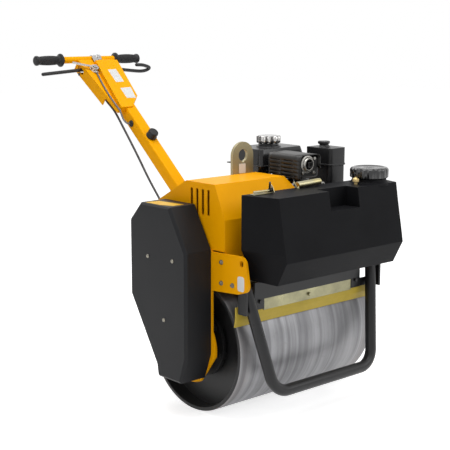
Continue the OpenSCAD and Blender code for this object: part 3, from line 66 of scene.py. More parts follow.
bpy.context.scene.collection.objects.link(camera)
camera.data.sensor_width = 36
camera.data.lens = 88.52
camera_place = (-2.40571, -2.48583, 1.17163)
camera_turn, camera_pitch, camera_roll = math.radians(-42.07), math.radians(10.31), math.radians(0.08)
camera.matrix_world = (Matrix.Translation(camera_place)
                       @ Matrix.Rotation(camera_turn, 4, "Z")
                       @ Matrix.Rotation(math.pi / 2 - camera_pitch, 4, "X")
                       @ Matrix.Rotation(camera_roll, 4, "Z"))
bpy.context.scene.camera = camera

# Floor, sky and lamps. A pale floor under a white sky that lights only weakly, and four soft lamps: a
# large one overhead, one at the left front, a weak one at the right and one behind. The camera, metal
# and glass see floor and sky white, so that the steel drum has something bright to mirror.
bpy.context.scene.view_settings.view_transform = "Standard"


def wire(tree, kind, inputs=None, **settings):
    """A node with its settings, and its sockets linked or filled by name or number."""
    node = tree.nodes.new(kind)
    for key, value in settings.items():
        setattr(node, key, value)
    for key, value in (inputs or {}).items():
        if isinstance(value, bpy.types.NodeSocket):
            tree.links.new(value, node.inputs[key])
        else:
            node.inputs[key].default_value = value
    return node


def rgb(red, green, blue):
    """An opaque colour."""
    return (red, green, blue, 1.0)


def seen_directly(tree):
    """1 where the camera, a mirror or glass looks at the surface, and 0 where it only gives light."""
    ray = wire(tree, "ShaderNodeLightPath")
    seen = wire(tree, "ShaderNodeMath", {0: ray.outputs["Is Camera Ray"], 1: ray.outputs["Is Glossy Ray"]},
                operation="MAXIMUM")
    seen = wire(tree, "ShaderNodeMath", {0: seen.outputs[0], 1: ray.outputs["Is Transmission Ray"]},
                operation="MAXIMUM")
    return seen.outputs[0]


sky_light, sky_seen = 0.40, 1.0
sky = bpy.data.worlds.new("studio")
bpy.context.scene.world = sky
sky.use_nodes = True
sky.node_tree.nodes.clear()
soft_sky = wire(sky.node_tree, "ShaderNodeBackground", {"Color": rgb(1, 1, 1), "Strength": sky_light})
white_sky = wire(sky.node_tree, "ShaderNodeBackground", {"Color": rgb(1, 1, 1), "Strength": sky_seen})
both = wire(sky.node_tree, "ShaderNodeMixShader",
            {0: seen_directly(sky.node_tree), 1: soft_sky.outputs[0], 2: white_sky.outputs[0]})
wire(sky.node_tree, "ShaderNodeOutputWorld", {0: both.outputs[0]})

floor_half_width, floor_glow = 14, 0.66
floor_mesh = bpy.data.meshes.new("floor")
bm = bmesh.new()
bmesh.ops.create_grid(bm, x_segments=1, y_segments=1, size=floor_half_width)
bm.to_mesh(floor_mesh)
bm.free()
floor = bpy.data.objects.new("floor", floor_mesh)
bpy.context.scene.collection.objects.link(floor)
floor_look = bpy.data.materials.new("floor")
floor_look.use_nodes = True
skin = floor_look.node_tree.nodes["Principled BSDF"]
skin.inputs["Base Color"].default_value = rgb(0.90, 0.90, 0.90)
skin.inputs["Roughness"].default_value = 0.95
skin.inputs["Specular IOR Level"].default_value = 0.0
lifted = wire(floor_look.node_tree, "ShaderNodeMath", {0: seen_directly(floor_look.node_tree), 1: floor_glow},
              operation="MULTIPLY")
skin.inputs["Emission Color"].default_value = rgb(1, 1, 1)
floor_look.node_tree.links.new(lifted.outputs[0], skin.inputs["Emission Strength"])
floor_mesh.materials.append(floor_look)
floor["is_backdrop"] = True

machine_middle = Vector((0, 0, 0.45))
for lamp_name, lamp_place, lamp_width, lamp_watts in (
        ("overhead", (-0.4, -0.4, 3.6), 2.6, 70),
        ("left_front", (1.9, -3.0, 2.4), 2.0, 34),
        ("right_side", (-3.4, -0.4, 1.8), 1.4, 9),
        ("behind", (0.6, 3.2, 2.8), 2.0, 26)):
    lamp = bpy.data.objects.new(lamp_name, bpy.data.lights.new(lamp_name, "AREA"))
    bpy.context.scene.collection.objects.link(lamp)
    lamp.data.size = lamp_width
    lamp.data.energy = lamp_watts
    lamp.location = lamp_place
    lamp.rotation_euler = (machine_middle - lamp.location).to_track_quat("-Z", "Y").to_euler()

# Cables. The black travel cable leaves the console under the handle, hangs behind the machine and goes
# into the hood's back. The grey throttle cable lies on the console and goes into the pole's grommet.
# Both are steel wire in a plastic jacket, 8 and 6 mm thick, and go into the machine at both ends.


def group(name, inputs, outputs):
    """An empty shader node group with named sockets, and its two end nodes."""
    tree = bpy.data.node_groups.new(name, "ShaderNodeTree")
    for socket, kind, value in inputs:
        tree.interface.new_socket(socket, in_out="INPUT", socket_type=kind).default_value = value
    for socket, kind in outputs:
        tree.interface.new_socket(socket, in_out="OUTPUT", socket_type=kind)
    return tree, tree.nodes.new("NodeGroupInput"), tree.nodes.new("NodeGroupOutput")


# Effects that the jackets and the later finishes share: worn and rounded edges, blotchy tone, and dust
# that settles on faces that look up and low down on the machine.
FLOAT, COLOUR, VECTOR = "NodeSocketFloat", "NodeSocketColor", "NodeSocketVector"

# worn and rounded edges
edges, edges_in, edges_out = group("rounded_edges",
                                   [("Radius", FLOAT, 0.0012), ("Spread", FLOAT, 0.25), ("Scale", FLOAT, 60.0)],
                                   [("Normal", VECTOR), ("Wear", FLOAT)])
rounded = wire(edges, "ShaderNodeBevel", {"Radius": edges_in.outputs["Radius"]}, samples=4)
flat = wire(edges, "ShaderNodeNewGeometry")
same_way = wire(edges, "ShaderNodeVectorMath", {0: rounded.outputs[0], 1: flat.outputs["Normal"]},
                operation="DOT_PRODUCT")
bend = wire(edges, "ShaderNodeMath", {0: 1.0, 1: same_way.outputs["Value"]}, operation="SUBTRACT")
place = wire(edges, "ShaderNodeTexCoord")
chips = wire(edges, "ShaderNodeTexNoise", {"Vector": place.outputs["Object"],
                                           "Scale": edges_in.outputs["Scale"], "Detail": 5.0})
worn = wire(edges, "ShaderNodeMath", {0: bend.outputs[0], 1: chips.outputs["Fac"]}, operation="MULTIPLY")
worn = wire(edges, "ShaderNodeMapRange", {"Value": worn.outputs[0], "From Min": 0.02,
                                          "From Max": edges_in.outputs["Spread"]})
edges.links.new(rounded.outputs[0], edges_out.inputs["Normal"])
edges.links.new(worn.outputs[0], edges_out.inputs["Wear"])

# blotchy tone with a fine grain
tone, tone_in, tone_out = group("blotchy_tone",
                                [("Colour", COLOUR, rgb(0.5, 0.5, 0.5)), ("Shade", COLOUR, rgb(0.4, 0.4, 0.4)),
                                 ("Scale", FLOAT, 9.0), ("Fine Scale", FLOAT, 260.0)],
                                [("Colour", COLOUR), ("Patch", FLOAT), ("Grain", FLOAT)])
place = wire(tone, "ShaderNodeTexCoord")
patch = wire(tone, "ShaderNodeTexNoise", {"Vector": place.outputs["Object"], "Scale": tone_in.outputs["Scale"],
                                          "Detail": 4.0, "Roughness": 0.6})
patch = wire(tone, "ShaderNodeMapRange", {"Value": patch.outputs["Fac"], "From Min": 0.32, "From Max": 0.7})
grain = wire(tone, "ShaderNodeTexNoise", {"Vector": place.outputs["Object"],
                                          "Scale": tone_in.outputs["Fine Scale"], "Detail": 3.0})
mixed = wire(tone, "ShaderNodeMix", {0: patch.outputs[0], 6: tone_in.outputs["Colour"],
                                     7: tone_in.outputs["Shade"]}, data_type="RGBA")
tone.links.new(mixed.outputs[2], tone_out.inputs["Colour"])
tone.links.new(patch.outputs[0], tone_out.inputs["Patch"])
tone.links.new(grain.outputs["Fac"], tone_out.inputs["Grain"])

# settled dust
dust, dust_in, dust_out = group("settled_dust", [("Amount", FLOAT, 0.15), ("Low", FLOAT, 0.25)],
                                [("Mask", FLOAT)])
flat = wire(dust, "ShaderNodeNewGeometry")
upward = wire(dust, "ShaderNodeSeparateXYZ", {0: flat.outputs["Normal"]})
height = wire(dust, "ShaderNodeSeparateXYZ", {0: flat.outputs["Position"]})
low_down = wire(dust, "ShaderNodeMapRange", {"Value": height.outputs["Z"], "From Min": 0.0,
                                             "From Max": dust_in.outputs["Low"], "To Min": 1.0, "To Max": 0.0})
on_top = wire(dust, "ShaderNodeMapRange", {"Value": upward.outputs["Z"], "From Min": 0.5, "From Max": 1.0})
place = wire(dust, "ShaderNodeTexCoord")
cloud = wire(dust, "ShaderNodeTexNoise", {"Vector": place.outputs["Object"], "Scale": 22.0, "Detail": 6.0,
                                          "Roughness": 0.7})
either = wire(dust, "ShaderNodeMath", {0: low_down.outputs[0], 1: on_top.outputs[0]}, operation="MAXIMUM")
laid = wire(dust, "ShaderNodeMath", {0: either.outputs[0], 1: cloud.outputs["Fac"]}, operation="MULTIPLY")
laid = wire(dust, "ShaderNodeMath", {0: laid.outputs[0], 1: dust_in.outputs["Amount"]}, operation="MULTIPLY")
dust.links.new(laid.outputs[0], dust_out.inputs["Mask"])
dust_colour = (0.30, 0.285, 0.265)


def coat(name, colour, shade, rough, metal=0.0, worn_colour=(0.35, 0.34, 0.32), wear=0.25, radius=0.0012,
         scale=9.0, fine=260.0, bump=0.00004, dusty=0.12, gloss=0.0, shine=0.5):
    """A painted, moulded or plated finish: blotchy tone, worn rounded edges, dust and a fine bump.

    rough is (low, high), scale and fine are the sizes of blotch and grain, and radius and bump are in metres.
    """
    look = bpy.data.materials.new(name)
    look.use_nodes = True
    tree = look.node_tree
    skin = tree.nodes["Principled BSDF"]
    base = wire(tree, "ShaderNodeGroup", node_tree=tone)
    base.inputs["Colour"].default_value, base.inputs["Shade"].default_value = rgb(*colour), rgb(*shade)
    base.inputs["Scale"].default_value, base.inputs["Fine Scale"].default_value = scale, fine
    rim = wire(tree, "ShaderNodeGroup", node_tree=edges)
    rim.inputs["Radius"].default_value = radius
    settled = wire(tree, "ShaderNodeGroup", node_tree=dust)
    settled.inputs["Amount"].default_value = dusty
    rubbed = wire(tree, "ShaderNodeMath", {0: rim.outputs["Wear"], 1: wear}, operation="MULTIPLY",
                  use_clamp=True)
    with_wear = wire(tree, "ShaderNodeMix", {0: rubbed.outputs[0], 6: base.outputs["Colour"],
                                             7: rgb(*worn_colour)}, data_type="RGBA")
    with_dust = wire(tree, "ShaderNodeMix", {0: settled.outputs["Mask"], 6: with_wear.outputs[2],
                                             7: rgb(*dust_colour)}, data_type="RGBA")
    tree.links.new(with_dust.outputs[2], skin.inputs["Base Color"])
    smear = wire(tree, "ShaderNodeMapRange", {"Value": base.outputs["Patch"], "To Min": rough[0],
                                              "To Max": rough[1]})
    matt = wire(tree, "ShaderNodeMath", {0: smear.outputs[0], 1: settled.outputs["Mask"]}, operation="ADD",
                use_clamp=True)
    tree.links.new(matt.outputs[0], skin.inputs["Roughness"])
    relief = wire(tree, "ShaderNodeBump", {"Height": base.outputs["Grain"], "Distance": bump,
                                           "Normal": rim.outputs["Normal"]})
    tree.links.new(relief.outputs[0], skin.inputs["Normal"])
    skin.inputs["Metallic"].default_value = metal
    skin.inputs["Specular IOR Level"].default_value = shine
    skin.inputs["Coat Weight"].default_value = gloss
    skin.inputs["Coat Roughness"].default_value = 0.12
    return look


def make(bm, name, body, look, finish, *nodes, sharp=32, modifiers=()):
    """Turns a bmesh into a finished piece that rides on a body and stands for CAD nodes, if it names any.

    look is its material, finish is not used, and sharp the angle past which an edge isn't smoothed.
    """
    bmesh.ops.remove_doubles(bm, verts=bm.verts, dist=1e-6)
    bmesh.ops.recalc_face_normals(bm, faces=bm.faces)
    mesh = bpy.data.meshes.new(name)
    bm.to_mesh(mesh)
    bm.free()
    mesh.materials.append(look)
    piece = bpy.data.objects.new(name, mesh)
    bpy.context.scene.collection.objects.link(piece)
    for kind, settings in modifiers:
        added = piece.modifiers.new(kind.lower(), kind)
        for key, value in settings.items():
            setattr(added, key, value)
    for face in mesh.polygons:
        face.use_smooth = True
    mesh.set_sharp_from_angle(angle=math.radians(sharp))
    if body:
        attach(piece, body)
    if nodes:
        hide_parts(*nodes)
    return piece


def sweep(bm, points, radius, sides=24):
    """A tube along points, by moving one ring from point to point and bridging the rings."""
    points = [Vector(p) for p in points]
    rings, side = [], None
    for i, spot in enumerate(points):
        ahead = (points[min(i + 1, len(points) - 1)] - points[max(i - 1, 0)]).normalized()
        side = (side - ahead * side.dot(ahead)).normalized() if side else ahead.orthogonal().normalized()
        basis = Matrix((side, ahead.cross(side), ahead)).transposed().to_4x4()
        rings.append(bmesh.ops.create_circle(bm, cap_ends=i in (0, len(points) - 1), segments=sides,
                                             radius=radius, matrix=Matrix.Translation(spot) @ basis)["verts"])
    for a, b in zip(rings, rings[1:]):
        bmesh.ops.bridge_loops(bm, edges=[e for ring in (a, b) for e in {x for v in ring for x in v.link_edges}
                                          if e.verts[0] in ring and e.verts[1] in ring])


def smooth_route(points, steps):
    """The CAD's own spline through given points."""
    points = [Vector(p) for p in points]
    last, route = len(points) - 1, []
    for i in range(last):
        a, b, c, d = points[max(i - 1, 0)], points[i], points[min(i + 1, last)], points[min(i + 2, last)]
        for t in (j / steps for j in range(steps)):
            route.append(0.5 * (2 * b + (c - a) * t + (2 * a - 5 * b + 4 * c - d) * t * t
                                + (3 * b - a - 3 * c + d) * t ** 3))
    return route + [points[last]]


console_turn = math.radians(35.1)
bar_y, bar_z = 0.9395, 1.0397
travel_thick, throttle_thick = 0.008, 0.006


def on_console(x, y, z):
    """A place on the console in the machine's frame: x across, y along the sheet from the bar, z out of it."""
    return (x, bar_y + y * math.cos(console_turn) - z * math.sin(console_turn),
            bar_z + y * math.sin(console_turn) + z * math.cos(console_turn))


black_jacket = coat("black_cable_jacket", (0.022, 0.022, 0.024), (0.030, 0.030, 0.032), (0.34, 0.5),
                    radius=0.0003, wear=0.0, dusty=0.1, fine=500.0)
grey_jacket = coat("grey_cable_jacket", (0.17, 0.175, 0.18), (0.13, 0.135, 0.14), (0.38, 0.5), radius=0.0003,
                   wear=0.0, dusty=0.1, fine=500.0)
travel_route = smooth_route([(-0.020, 0.8120, 0.9120), (-0.026, 0.7915, 0.8947), (-0.040, 0.7255, 0.8627),
                             (-0.040, 0.6715, 0.8037), (-0.040, 0.5985, 0.7197), (-0.042, 0.5305, 0.6407),
                             (-0.048, 0.4660, 0.5800), (-0.066, 0.4000, 0.5360), (-0.104, 0.3000, 0.5200),
                             (-0.160, 0.2150, 0.5160), (-0.210, 0.1500, 0.5150), (-0.210, 0.1190, 0.5150)], 5)
bm = bmesh.new()
sweep(bm, travel_route, travel_thick / 2, 16)
travel_cable = make(bm, "travel_cable", None, black_jacket, "rubber", "control_cable", sharp=60)
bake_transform(travel_cable)

throttle_route = [Vector(on_console(*p))
                  for p in smooth_route([(-0.024, -0.0895, 0.015), (-0.027, -0.110, 0.014),
                                         (-0.040, -0.170, 0.014), (-0.050, -0.240, 0.014),
                                         (-0.054, -0.296, 0.0143), (-0.054, -0.313, 0.0138),
                                         (-0.052, -0.326, 0.005), (-0.049, -0.342, -0.005),
                                         (-0.043, -0.357, -0.0095), (-0.030, -0.362, -0.0103)], 4)]
bm = bmesh.new()
sweep(bm, throttle_route, throttle_thick / 2, 14)
throttle_lead = make(bm, "throttle_lead", "handle", grey_jacket, "rubber", "throttle_cable", sharp=60)

# Side plates, deck, hood, console and handlebar. Laser-cut and folded steel, and a steel tube, with a
# thick warm yellow powder coat, its edges rounded by the coat and rubbed in places.


def dress(look, *nodes):
    """Gives CAD nodes their finish."""
    for node in nodes:
        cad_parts[node].data.materials.clear()
        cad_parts[node].data.materials.append(look)


yellow_paint = coat("yellow_powder_coat", (0.97, 0.43, 0.0), (0.92, 0.395, 0.0), (0.32, 0.44),
                    worn_colour=(0.45, 0.30, 0.10), wear=0.2, radius=0.0022, scale=5.0, fine=190.0,
                    bump=0.00005, dusty=0.0, gloss=0.0, shine=0.06)
dress(yellow_paint, "right_side_plate", "left_side_plate", "engine_deck", "belt_hood", "handle_console",
      "handlebar")

# Guard hoop. One bent tube of black enamelled steel, 35 mm thick, that leans back and spreads upwards
# in front of the drum, welded at each end to a flat bracket that bolts to the side plate.


def rounded_edge(width, segments=3, angle=28):
    """A bevel that rounds the edges sharper than an angle."""
    return ("BEVEL", {"width": width, "segments": segments, "limit_method": "ANGLE",
                      "angle_limit": math.radians(angle), "harden_normals": True})


def solid(bm, outline, low, high, along="X"):
    """A plate with an outline, from low to high along an axis. It gives back the vertices at high.

    Points are [y, z] on X, [x, z] on Y and [x, y] on Z.
    """
    spot = {"X": lambda p: (low, p[0], p[1]), "Y": lambda p: (p[0], low, p[1]),
            "Z": lambda p: (p[0], p[1], low)}[along]
    face = bm.faces.new([bm.verts.new(spot(p)) for p in outline])
    grown = bmesh.ops.extrude_face_region(bm, geom=[face])
    new = [v for v in grown["geom"] if isinstance(v, bmesh.types.BMVert)]
    bmesh.ops.translate(bm, verts=new, vec={"X": (high - low, 0, 0), "Y": (0, high - low, 0),
                                            "Z": (0, 0, high - low)}[along])
    return new


black_enamel = coat("black_enamel", (0.009, 0.009, 0.010), (0.014, 0.014, 0.015), (0.26, 0.42),
                    worn_colour=(0.06, 0.06, 0.06), wear=0.25, radius=0.0015, scale=8.0, fine=220.0,
                    bump=0.00006, dusty=0.05, gloss=0.04, shine=0.3)
hoop_tube, hoop_bend, hoop_half_low, hoop_half_top = 0.0175, 0.062, 0.214, 0.270
hoop_low_y, hoop_low_z, hoop_top_y, hoop_top_z = -0.2785, 0.104, -0.219, 0.394
hoop_into_bracket = 0.024
hoop_low = Vector((0, hoop_low_y, hoop_low_z))
hoop_lean = math.atan((hoop_top_y - hoop_low_y) / (hoop_top_z - hoop_low_z))
hoop_rise = (hoop_top_z - hoop_low_z) / math.cos(hoop_lean)
hoop_splay = math.atan((hoop_half_top - hoop_half_low) / hoop_rise)
hoop_turn = math.pi / 2 - hoop_splay
hoop_back = hoop_bend * math.tan(hoop_turn / 2)
hoop_leg = hoop_rise / math.cos(hoop_splay) + hoop_into_bracket
# one half in the hoop's own plane: the bend at the foot, then the leg
half_line = [(hoop_half_low - hoop_back + hoop_bend * math.sin(hoop_turn * i / 20),
              hoop_bend - hoop_bend * math.cos(hoop_turn * i / 20)) for i in range(21)]
half_line.append((hoop_half_low + hoop_leg * math.sin(hoop_splay), hoop_leg * math.cos(hoop_splay)))
hoop_line = [(side * u, hoop_low.y + v * math.sin(hoop_lean), hoop_low.z + v * math.cos(hoop_lean))
             for side, half in ((-1, half_line[::-1]), (1, half_line)) for u, v in half]
bm = bmesh.new()
sweep(bm, hoop_line, hoop_tube, 40)
bracket_inner, bracket_outer = 0.2887, 0.2967
for side in (-1, 1):
    near, far = sorted((side * bracket_inner, side * bracket_outer))
    solid(bm, [(-0.240, 0.343), (-0.205, 0.343), (-0.205, 0.405), (-0.158, 0.412), (-0.158, 0.452),
               (-0.240, 0.452)], near, far)
make(bm, "guard_hoop_tube", "root", black_enamel, "black_paint", "guard_hoop",
     modifiers=[rounded_edge(0.0015, 2, 50)])

# Drum. A shell rolled from 12 mm plate, 420 mm across and 580 mm wide, with a rounded lip. The ground has
# polished it into fine rings round it, with scuffs and a thin bloom of rust at its ends. Its hubs and
# its rims are black, and it turns on grey cast housings.
dark_steel, bright_steel = (0.045, 0.045, 0.05), (0.31, 0.31, 0.32)
scuffed_steel, rust_brown = (0.17, 0.165, 0.16), (0.24, 0.12, 0.06)
streak_share, scuff_share, rust_share, ring_depth = 0.38, 0.4, 0.22, 0.00009
drum_look = bpy.data.materials.new("ground_polished_steel")
drum_look.use_nodes = True
tree = drum_look.node_tree
skin = tree.nodes["Principled BSDF"]
place = wire(tree, "ShaderNodeTexCoord")
# fine rings, and broad clouds drawn out round the drum
rings = wire(tree, "ShaderNodeMapping", {0: place.outputs["Object"], "Scale": (230.0, 1.2, 1.2)})
rings = wire(tree, "ShaderNodeTexNoise", {0: rings.outputs[0], "Scale": 1.0, "Detail": 5.0, "Roughness": 0.65})
broad = wire(tree, "ShaderNodeMapping", {0: place.outputs["Object"], "Scale": (16.0, 2.2, 2.2)})
broad = wire(tree, "ShaderNodeTexNoise", {0: broad.outputs[0], "Scale": 1.0, "Detail": 6.0, "Roughness": 0.7})
# scuffs, and rust towards the ends
scuffs = wire(tree, "ShaderNodeTexNoise", {0: place.outputs["Object"], "Scale": 26.0, "Detail": 8.0,
                                           "Roughness": 0.75, "Distortion": 0.8})
scuff_mask = wire(tree, "ShaderNodeMapRange", {"Value": scuffs.outputs[0], "From Min": 0.55, "From Max": 0.72})
along = wire(tree, "ShaderNodeSeparateXYZ", {0: place.outputs["Object"]})
far_out = wire(tree, "ShaderNodeMath", {0: along.outputs[0]}, operation="ABSOLUTE")
end_band = wire(tree, "ShaderNodeMapRange", {"Value": far_out.outputs[0], "From Min": 0.235, "From Max": 0.290})
rust_cloud = wire(tree, "ShaderNodeMapRange", {"Value": broad.outputs[0], "From Min": 0.42, "From Max": 0.62})
rust = wire(tree, "ShaderNodeMath", {0: end_band.outputs[0], 1: rust_cloud.outputs[0]}, operation="MULTIPLY")
rust = wire(tree, "ShaderNodeMath", {0: rust.outputs[0], 1: rust_share}, operation="MULTIPLY")
# bright streaks over dark steel
fine_streak = wire(tree, "ShaderNodeMapping", {0: place.outputs["Object"], "Scale": (46.0, 0.5, 0.5)})
fine_streak = wire(tree, "ShaderNodeTexNoise",
                   {0: fine_streak.outputs[0], "Scale": 1.0, "Detail": 3.0, "Roughness": 0.6})
fine_streak = wire(tree, "ShaderNodeMapRange",
                   {"Value": fine_streak.outputs[0], "From Min": 0.36, "From Max": 0.62})
wear_mix = wire(tree, "ShaderNodeMath", {0: fine_streak.outputs[0], 1: streak_share}, operation="MULTIPLY")
wear_mix = wire(tree, "ShaderNodeMath", {0: wear_mix.outputs[0], 1: broad.outputs[0]}, operation="ADD",
                use_clamp=True)
steel_tone = wire(tree, "ShaderNodeMix", {0: wear_mix.outputs[0], 6: rgb(*dark_steel), 7: rgb(*bright_steel)},
                  data_type="RGBA")
scuffed = wire(tree, "ShaderNodeMath", {0: scuff_mask.outputs[0], 1: scuff_share},
               operation="MULTIPLY")
steel_tone = wire(tree, "ShaderNodeMix", {0: scuffed.outputs[0], 6: steel_tone.outputs[2],
                                          7: rgb(*scuffed_steel)}, data_type="RGBA")
steel_tone = wire(tree, "ShaderNodeMix", {0: rust.outputs[0], 6: steel_tone.outputs[2],
                                          7: rgb(*rust_brown)}, data_type="RGBA")
tree.links.new(steel_tone.outputs[2], skin.inputs["Base Color"])
dull = wire(tree, "ShaderNodeMapRange", {"Value": rings.outputs[0], "From Min": 0.3, "From Max": 0.7,
                                         "To Min": 0.40, "To Max": 0.58})
dull = wire(tree, "ShaderNodeMath", {0: dull.outputs[0], 1: rust.outputs[0]}, operation="ADD", use_clamp=True)
tree.links.new(dull.outputs[0], skin.inputs["Roughness"])
skin.inputs["Metallic"].default_value = 1.0
scored = wire(tree, "ShaderNodeBump", {"Height": rings.outputs[0], "Distance": ring_depth})
tree.links.new(scored.outputs[0], skin.inputs["Normal"])

# the shell's section, spun round the axle, and its black rims and hubs
drum_radius, drum_half, drum_wall, recess, hub_radius = 0.210, 0.290, 0.012, 0.050, 0.0465
rim_radius, rim_half = 0.2065, 0.2885
bm = bmesh.new()
profile = [(drum_half - recess, hub_radius), (drum_half - recess, drum_radius - drum_wall),
           (drum_half - 0.001, drum_radius - drum_wall), (drum_half, drum_radius - drum_wall + 0.001),
           (drum_half, drum_radius - 0.004), (drum_half - 0.0012, drum_radius - 0.0012),
           (drum_half - 0.004, drum_radius)]
profile = [(-x, r) for x, r in profile] + [(x, r) for x, r in profile[::-1]] + [(-profile[0][0], profile[0][1])]
ring = [bm.verts.new((x, 0, drum_radius + r)) for x, r in profile[:-1]]
line = [bm.edges.new((ring[i], ring[(i + 1) % len(ring)])) for i in range(len(ring))]
bmesh.ops.spin(bm, geom=ring + line, cent=(0, 0, drum_radius), axis=(1, 0, 0), angle=math.tau, steps=192,
               use_merge=True)
barrel = make(bm, "drum_barrel", "drum", drum_look, "drum_steel", "drum_shell", sharp=25)
hub_black = coat("hub_black", (0.010, 0.010, 0.011), (0.016, 0.016, 0.016), (0.36, 0.55), wear=0.15,
                 worn_colour=(0.08, 0.08, 0.08), dusty=0.06, bump=0.0001, shine=0.3)
rim_black = coat("rim_black", (0.010, 0.010, 0.011), (0.018, 0.018, 0.018), (0.30, 0.5), wear=0.6,
                 worn_colour=(0.20, 0.20, 0.20), dusty=0.03, bump=0.0001, shine=0.3)
barrel.data.materials.append(rim_black)
for face in barrel.data.polygons:
    if math.hypot(face.center.y, face.center.z - drum_radius) < rim_radius or abs(face.center.x) > rim_half:
        face.material_index = 1
dress(hub_black, "drum_hubs")
cast_grey = coat("cast_grey_iron", (0.022, 0.022, 0.024), (0.016, 0.016, 0.017), (0.4, 0.6), fine=120.0,
                 bump=0.0003, dusty=0.08, shine=0.3)
dress(cast_grey, "bearing_housings")

# Drive train. Turned steel shafts, sprockets and pulleys, an oiled roller chain to the drum and two
# rubber V-belts, nearly all of it hidden behind the cover and the hood.
machined = coat("machined_steel", (0.50, 0.50, 0.51), (0.36, 0.36, 0.37), (0.22, 0.4), metal=1.0, wear=0.0,
                dusty=0.05)
dress(machined, "drum_sprocket", "exciter_shaft", "jackshaft", "pinion", "clutch_pulley", "crankshaft")
oiled = coat("oiled_chain", (0.11, 0.10, 0.095), (0.06, 0.055, 0.05), (0.3, 0.5), metal=0.8, wear=0.0)
dress(oiled, "drive_chain")
belt_rubber = coat("belt_rubber", (0.02, 0.02, 0.02), (0.03, 0.03, 0.03), (0.6, 0.75), wear=0.0, fine=400.0)
dress(belt_rubber, "upper_belt", "exciter_belt")

# Drive cover. A deep charcoal moulding over the chain and the lower belt, 99 mm deep, with nine sides and
# a bevel all round its face, held by three screws.
charcoal = coat("charcoal_moulding", (0.0105, 0.0107, 0.0120), (0.0135, 0.0138, 0.0155), (0.40, 0.52),
                worn_colour=(0.04, 0.04, 0.04), wear=0.2, radius=0.002, scale=6.0, fine=620.0, bump=0.00012,
                dusty=0.0, shine=0.18)


def cover_loop(bm, x, inset):
    """One ring of the cover's outline at x, drawn in by inset, and its edges."""
    i = inset
    outline = [(-0.098 + i, 0.201 + i / 3), (-0.098 + i, 0.519 - i / 4), (-0.025 + i * 0.7, 0.646 - i),
               (0.113 - i / 2, 0.646 - i), (0.165 - i, 0.590 - i / 2), (0.165 - i, 0.358 + i / 4),
               (0.043 - i, 0.160 + i / 3), (0.034 - i / 2, 0.122 + i), (-0.070 + i / 2, 0.122 + i)]
    spots = [bm.verts.new((x, y, z)) for y, z in outline]
    return spots, [bm.edges.new((spots[k], spots[(k + 1) % 9])) for k in range(9)]


bm = bmesh.new()
loops = [cover_loop(bm, x, inset) for x, inset in ((-0.309, 0.004), (-0.305, 0.004), (-0.305, 0.0),
                                                   (-0.397, 0.0), (-0.404, 0.007))]
for (a, a_edges), (b, b_edges) in zip(loops[1:], loops[2:]):
    bmesh.ops.bridge_loops(bm, edges=a_edges + b_edges)
bmesh.ops.bridge_loops(bm, edges=loops[0][1] + loops[1][1])
bm.faces.new(loops[-1][0])
bm.faces.new(loops[0][0])
make(bm, "drive_cover_moulding", "root", charcoal, "charcoal_moulding", "drive_cover",
     modifiers=[rounded_edge(0.0045, 4, 22)])

# Bolts. Zinc-plated hexagon heads on 15 mm washers, three on the plate and four on the engine's feet, and
# three low domed screws, 12 mm, in the cover. The sprinkler pipe is plated in the same pale zinc.


def turned(bm, profile, frame_matrix, sides=64, lobes=0, depth=0.0, fluted=None):
    """A closed turned form, from (height, radius) pairs along the frame's Z.

    Where lobes is given, as many grooves of that depth are cut in its rings, or in those numbered in fluted.
    """
    rings = []
    for i, (rise, radius) in enumerate(profile):
        cut = depth if lobes and (fluted is None or i in fluted) else 0.0
        ring = []
        for a in (math.tau * k / sides for k in range(sides)):
            reach = radius - cut * (0.5 - 0.5 * math.cos(lobes * a)) ** 2
            ring.append(bm.verts.new(frame_matrix @ Vector((reach * math.cos(a), reach * math.sin(a), rise))))
        rings.append(ring)
    for a, b in zip(rings, rings[1:]):
        for k in range(sides):
            bm.faces.new((a[k], a[(k + 1) % sides], b[(k + 1) % sides], b[k]))
    bm.faces.new(rings[0][::-1])
    bm.faces.new(rings[-1])


def facing(axis, x, y, z):
    """A frame at a place whose Z points along an axis of the machine's."""
    turn = {"X": Matrix.Rotation(math.pi / 2, 4, "Y"), "Y": Matrix.Rotation(-math.pi / 2, 4, "X"),
            "-Y": Matrix.Rotation(math.pi / 2, 4, "X"), "-X": Matrix.Rotation(-math.pi / 2, 4, "Y"),
            "Z": Matrix.Identity(4)}[axis]
    return Matrix.Translation((x, y, z)) @ turn


zinc = coat("pale_zinc", (0.48, 0.42, 0.21), (0.36, 0.35, 0.27), (0.28, 0.44), metal=1.0, wear=0.1,
            radius=0.0006, scale=30.0, dusty=0.04)
dress(zinc, "sprinkler_pipe")
bolt_grey = coat("grey_zinc_bolts", (0.27, 0.25, 0.20), (0.16, 0.155, 0.14), (0.25, 0.42), metal=1.0, wear=0.1,
                 radius=0.0005, scale=90.0, dusty=0.04)
bm = bmesh.new()
plate_face, foot_top, cover_face = -0.305, 0.488, -0.404
for place in ([facing("-X", plate_face, y, z) for y, z in ((-0.143, 0.489), (-0.143, 0.427), (-0.191, 0.428))]
              + [facing("Z", x, y, foot_top) for x in (0.060, 0.170) for y in (0.005, 0.105)]):
    turned(bm, [(0.0, 0.0075), (0.0010, 0.0075), (0.0012, 0.0070)], place, 40)
    turned(bm, [(0.0012, 0.0060), (0.0044, 0.0060), (0.0052, 0.0052)], place, 6)
    turned(bm, [(0.0050, 0.0036), (0.0068, 0.0036), (0.0074, 0.0028)], place, 24)
for y, z in ((0.077, 0.487), (-0.038, 0.489), (0.003, 0.304)):
    turned(bm, [(0.0, 0.0062), (0.0008, 0.0062), (0.0022, 0.0052), (0.0030, 0.0036), (0.0033, 0.0018)],
           facing("-X", cover_face, y, z), 40)
make(bm, "bolt_heads", "root", bolt_grey, "zinc_plate", "frame_bolts", sharp=40)
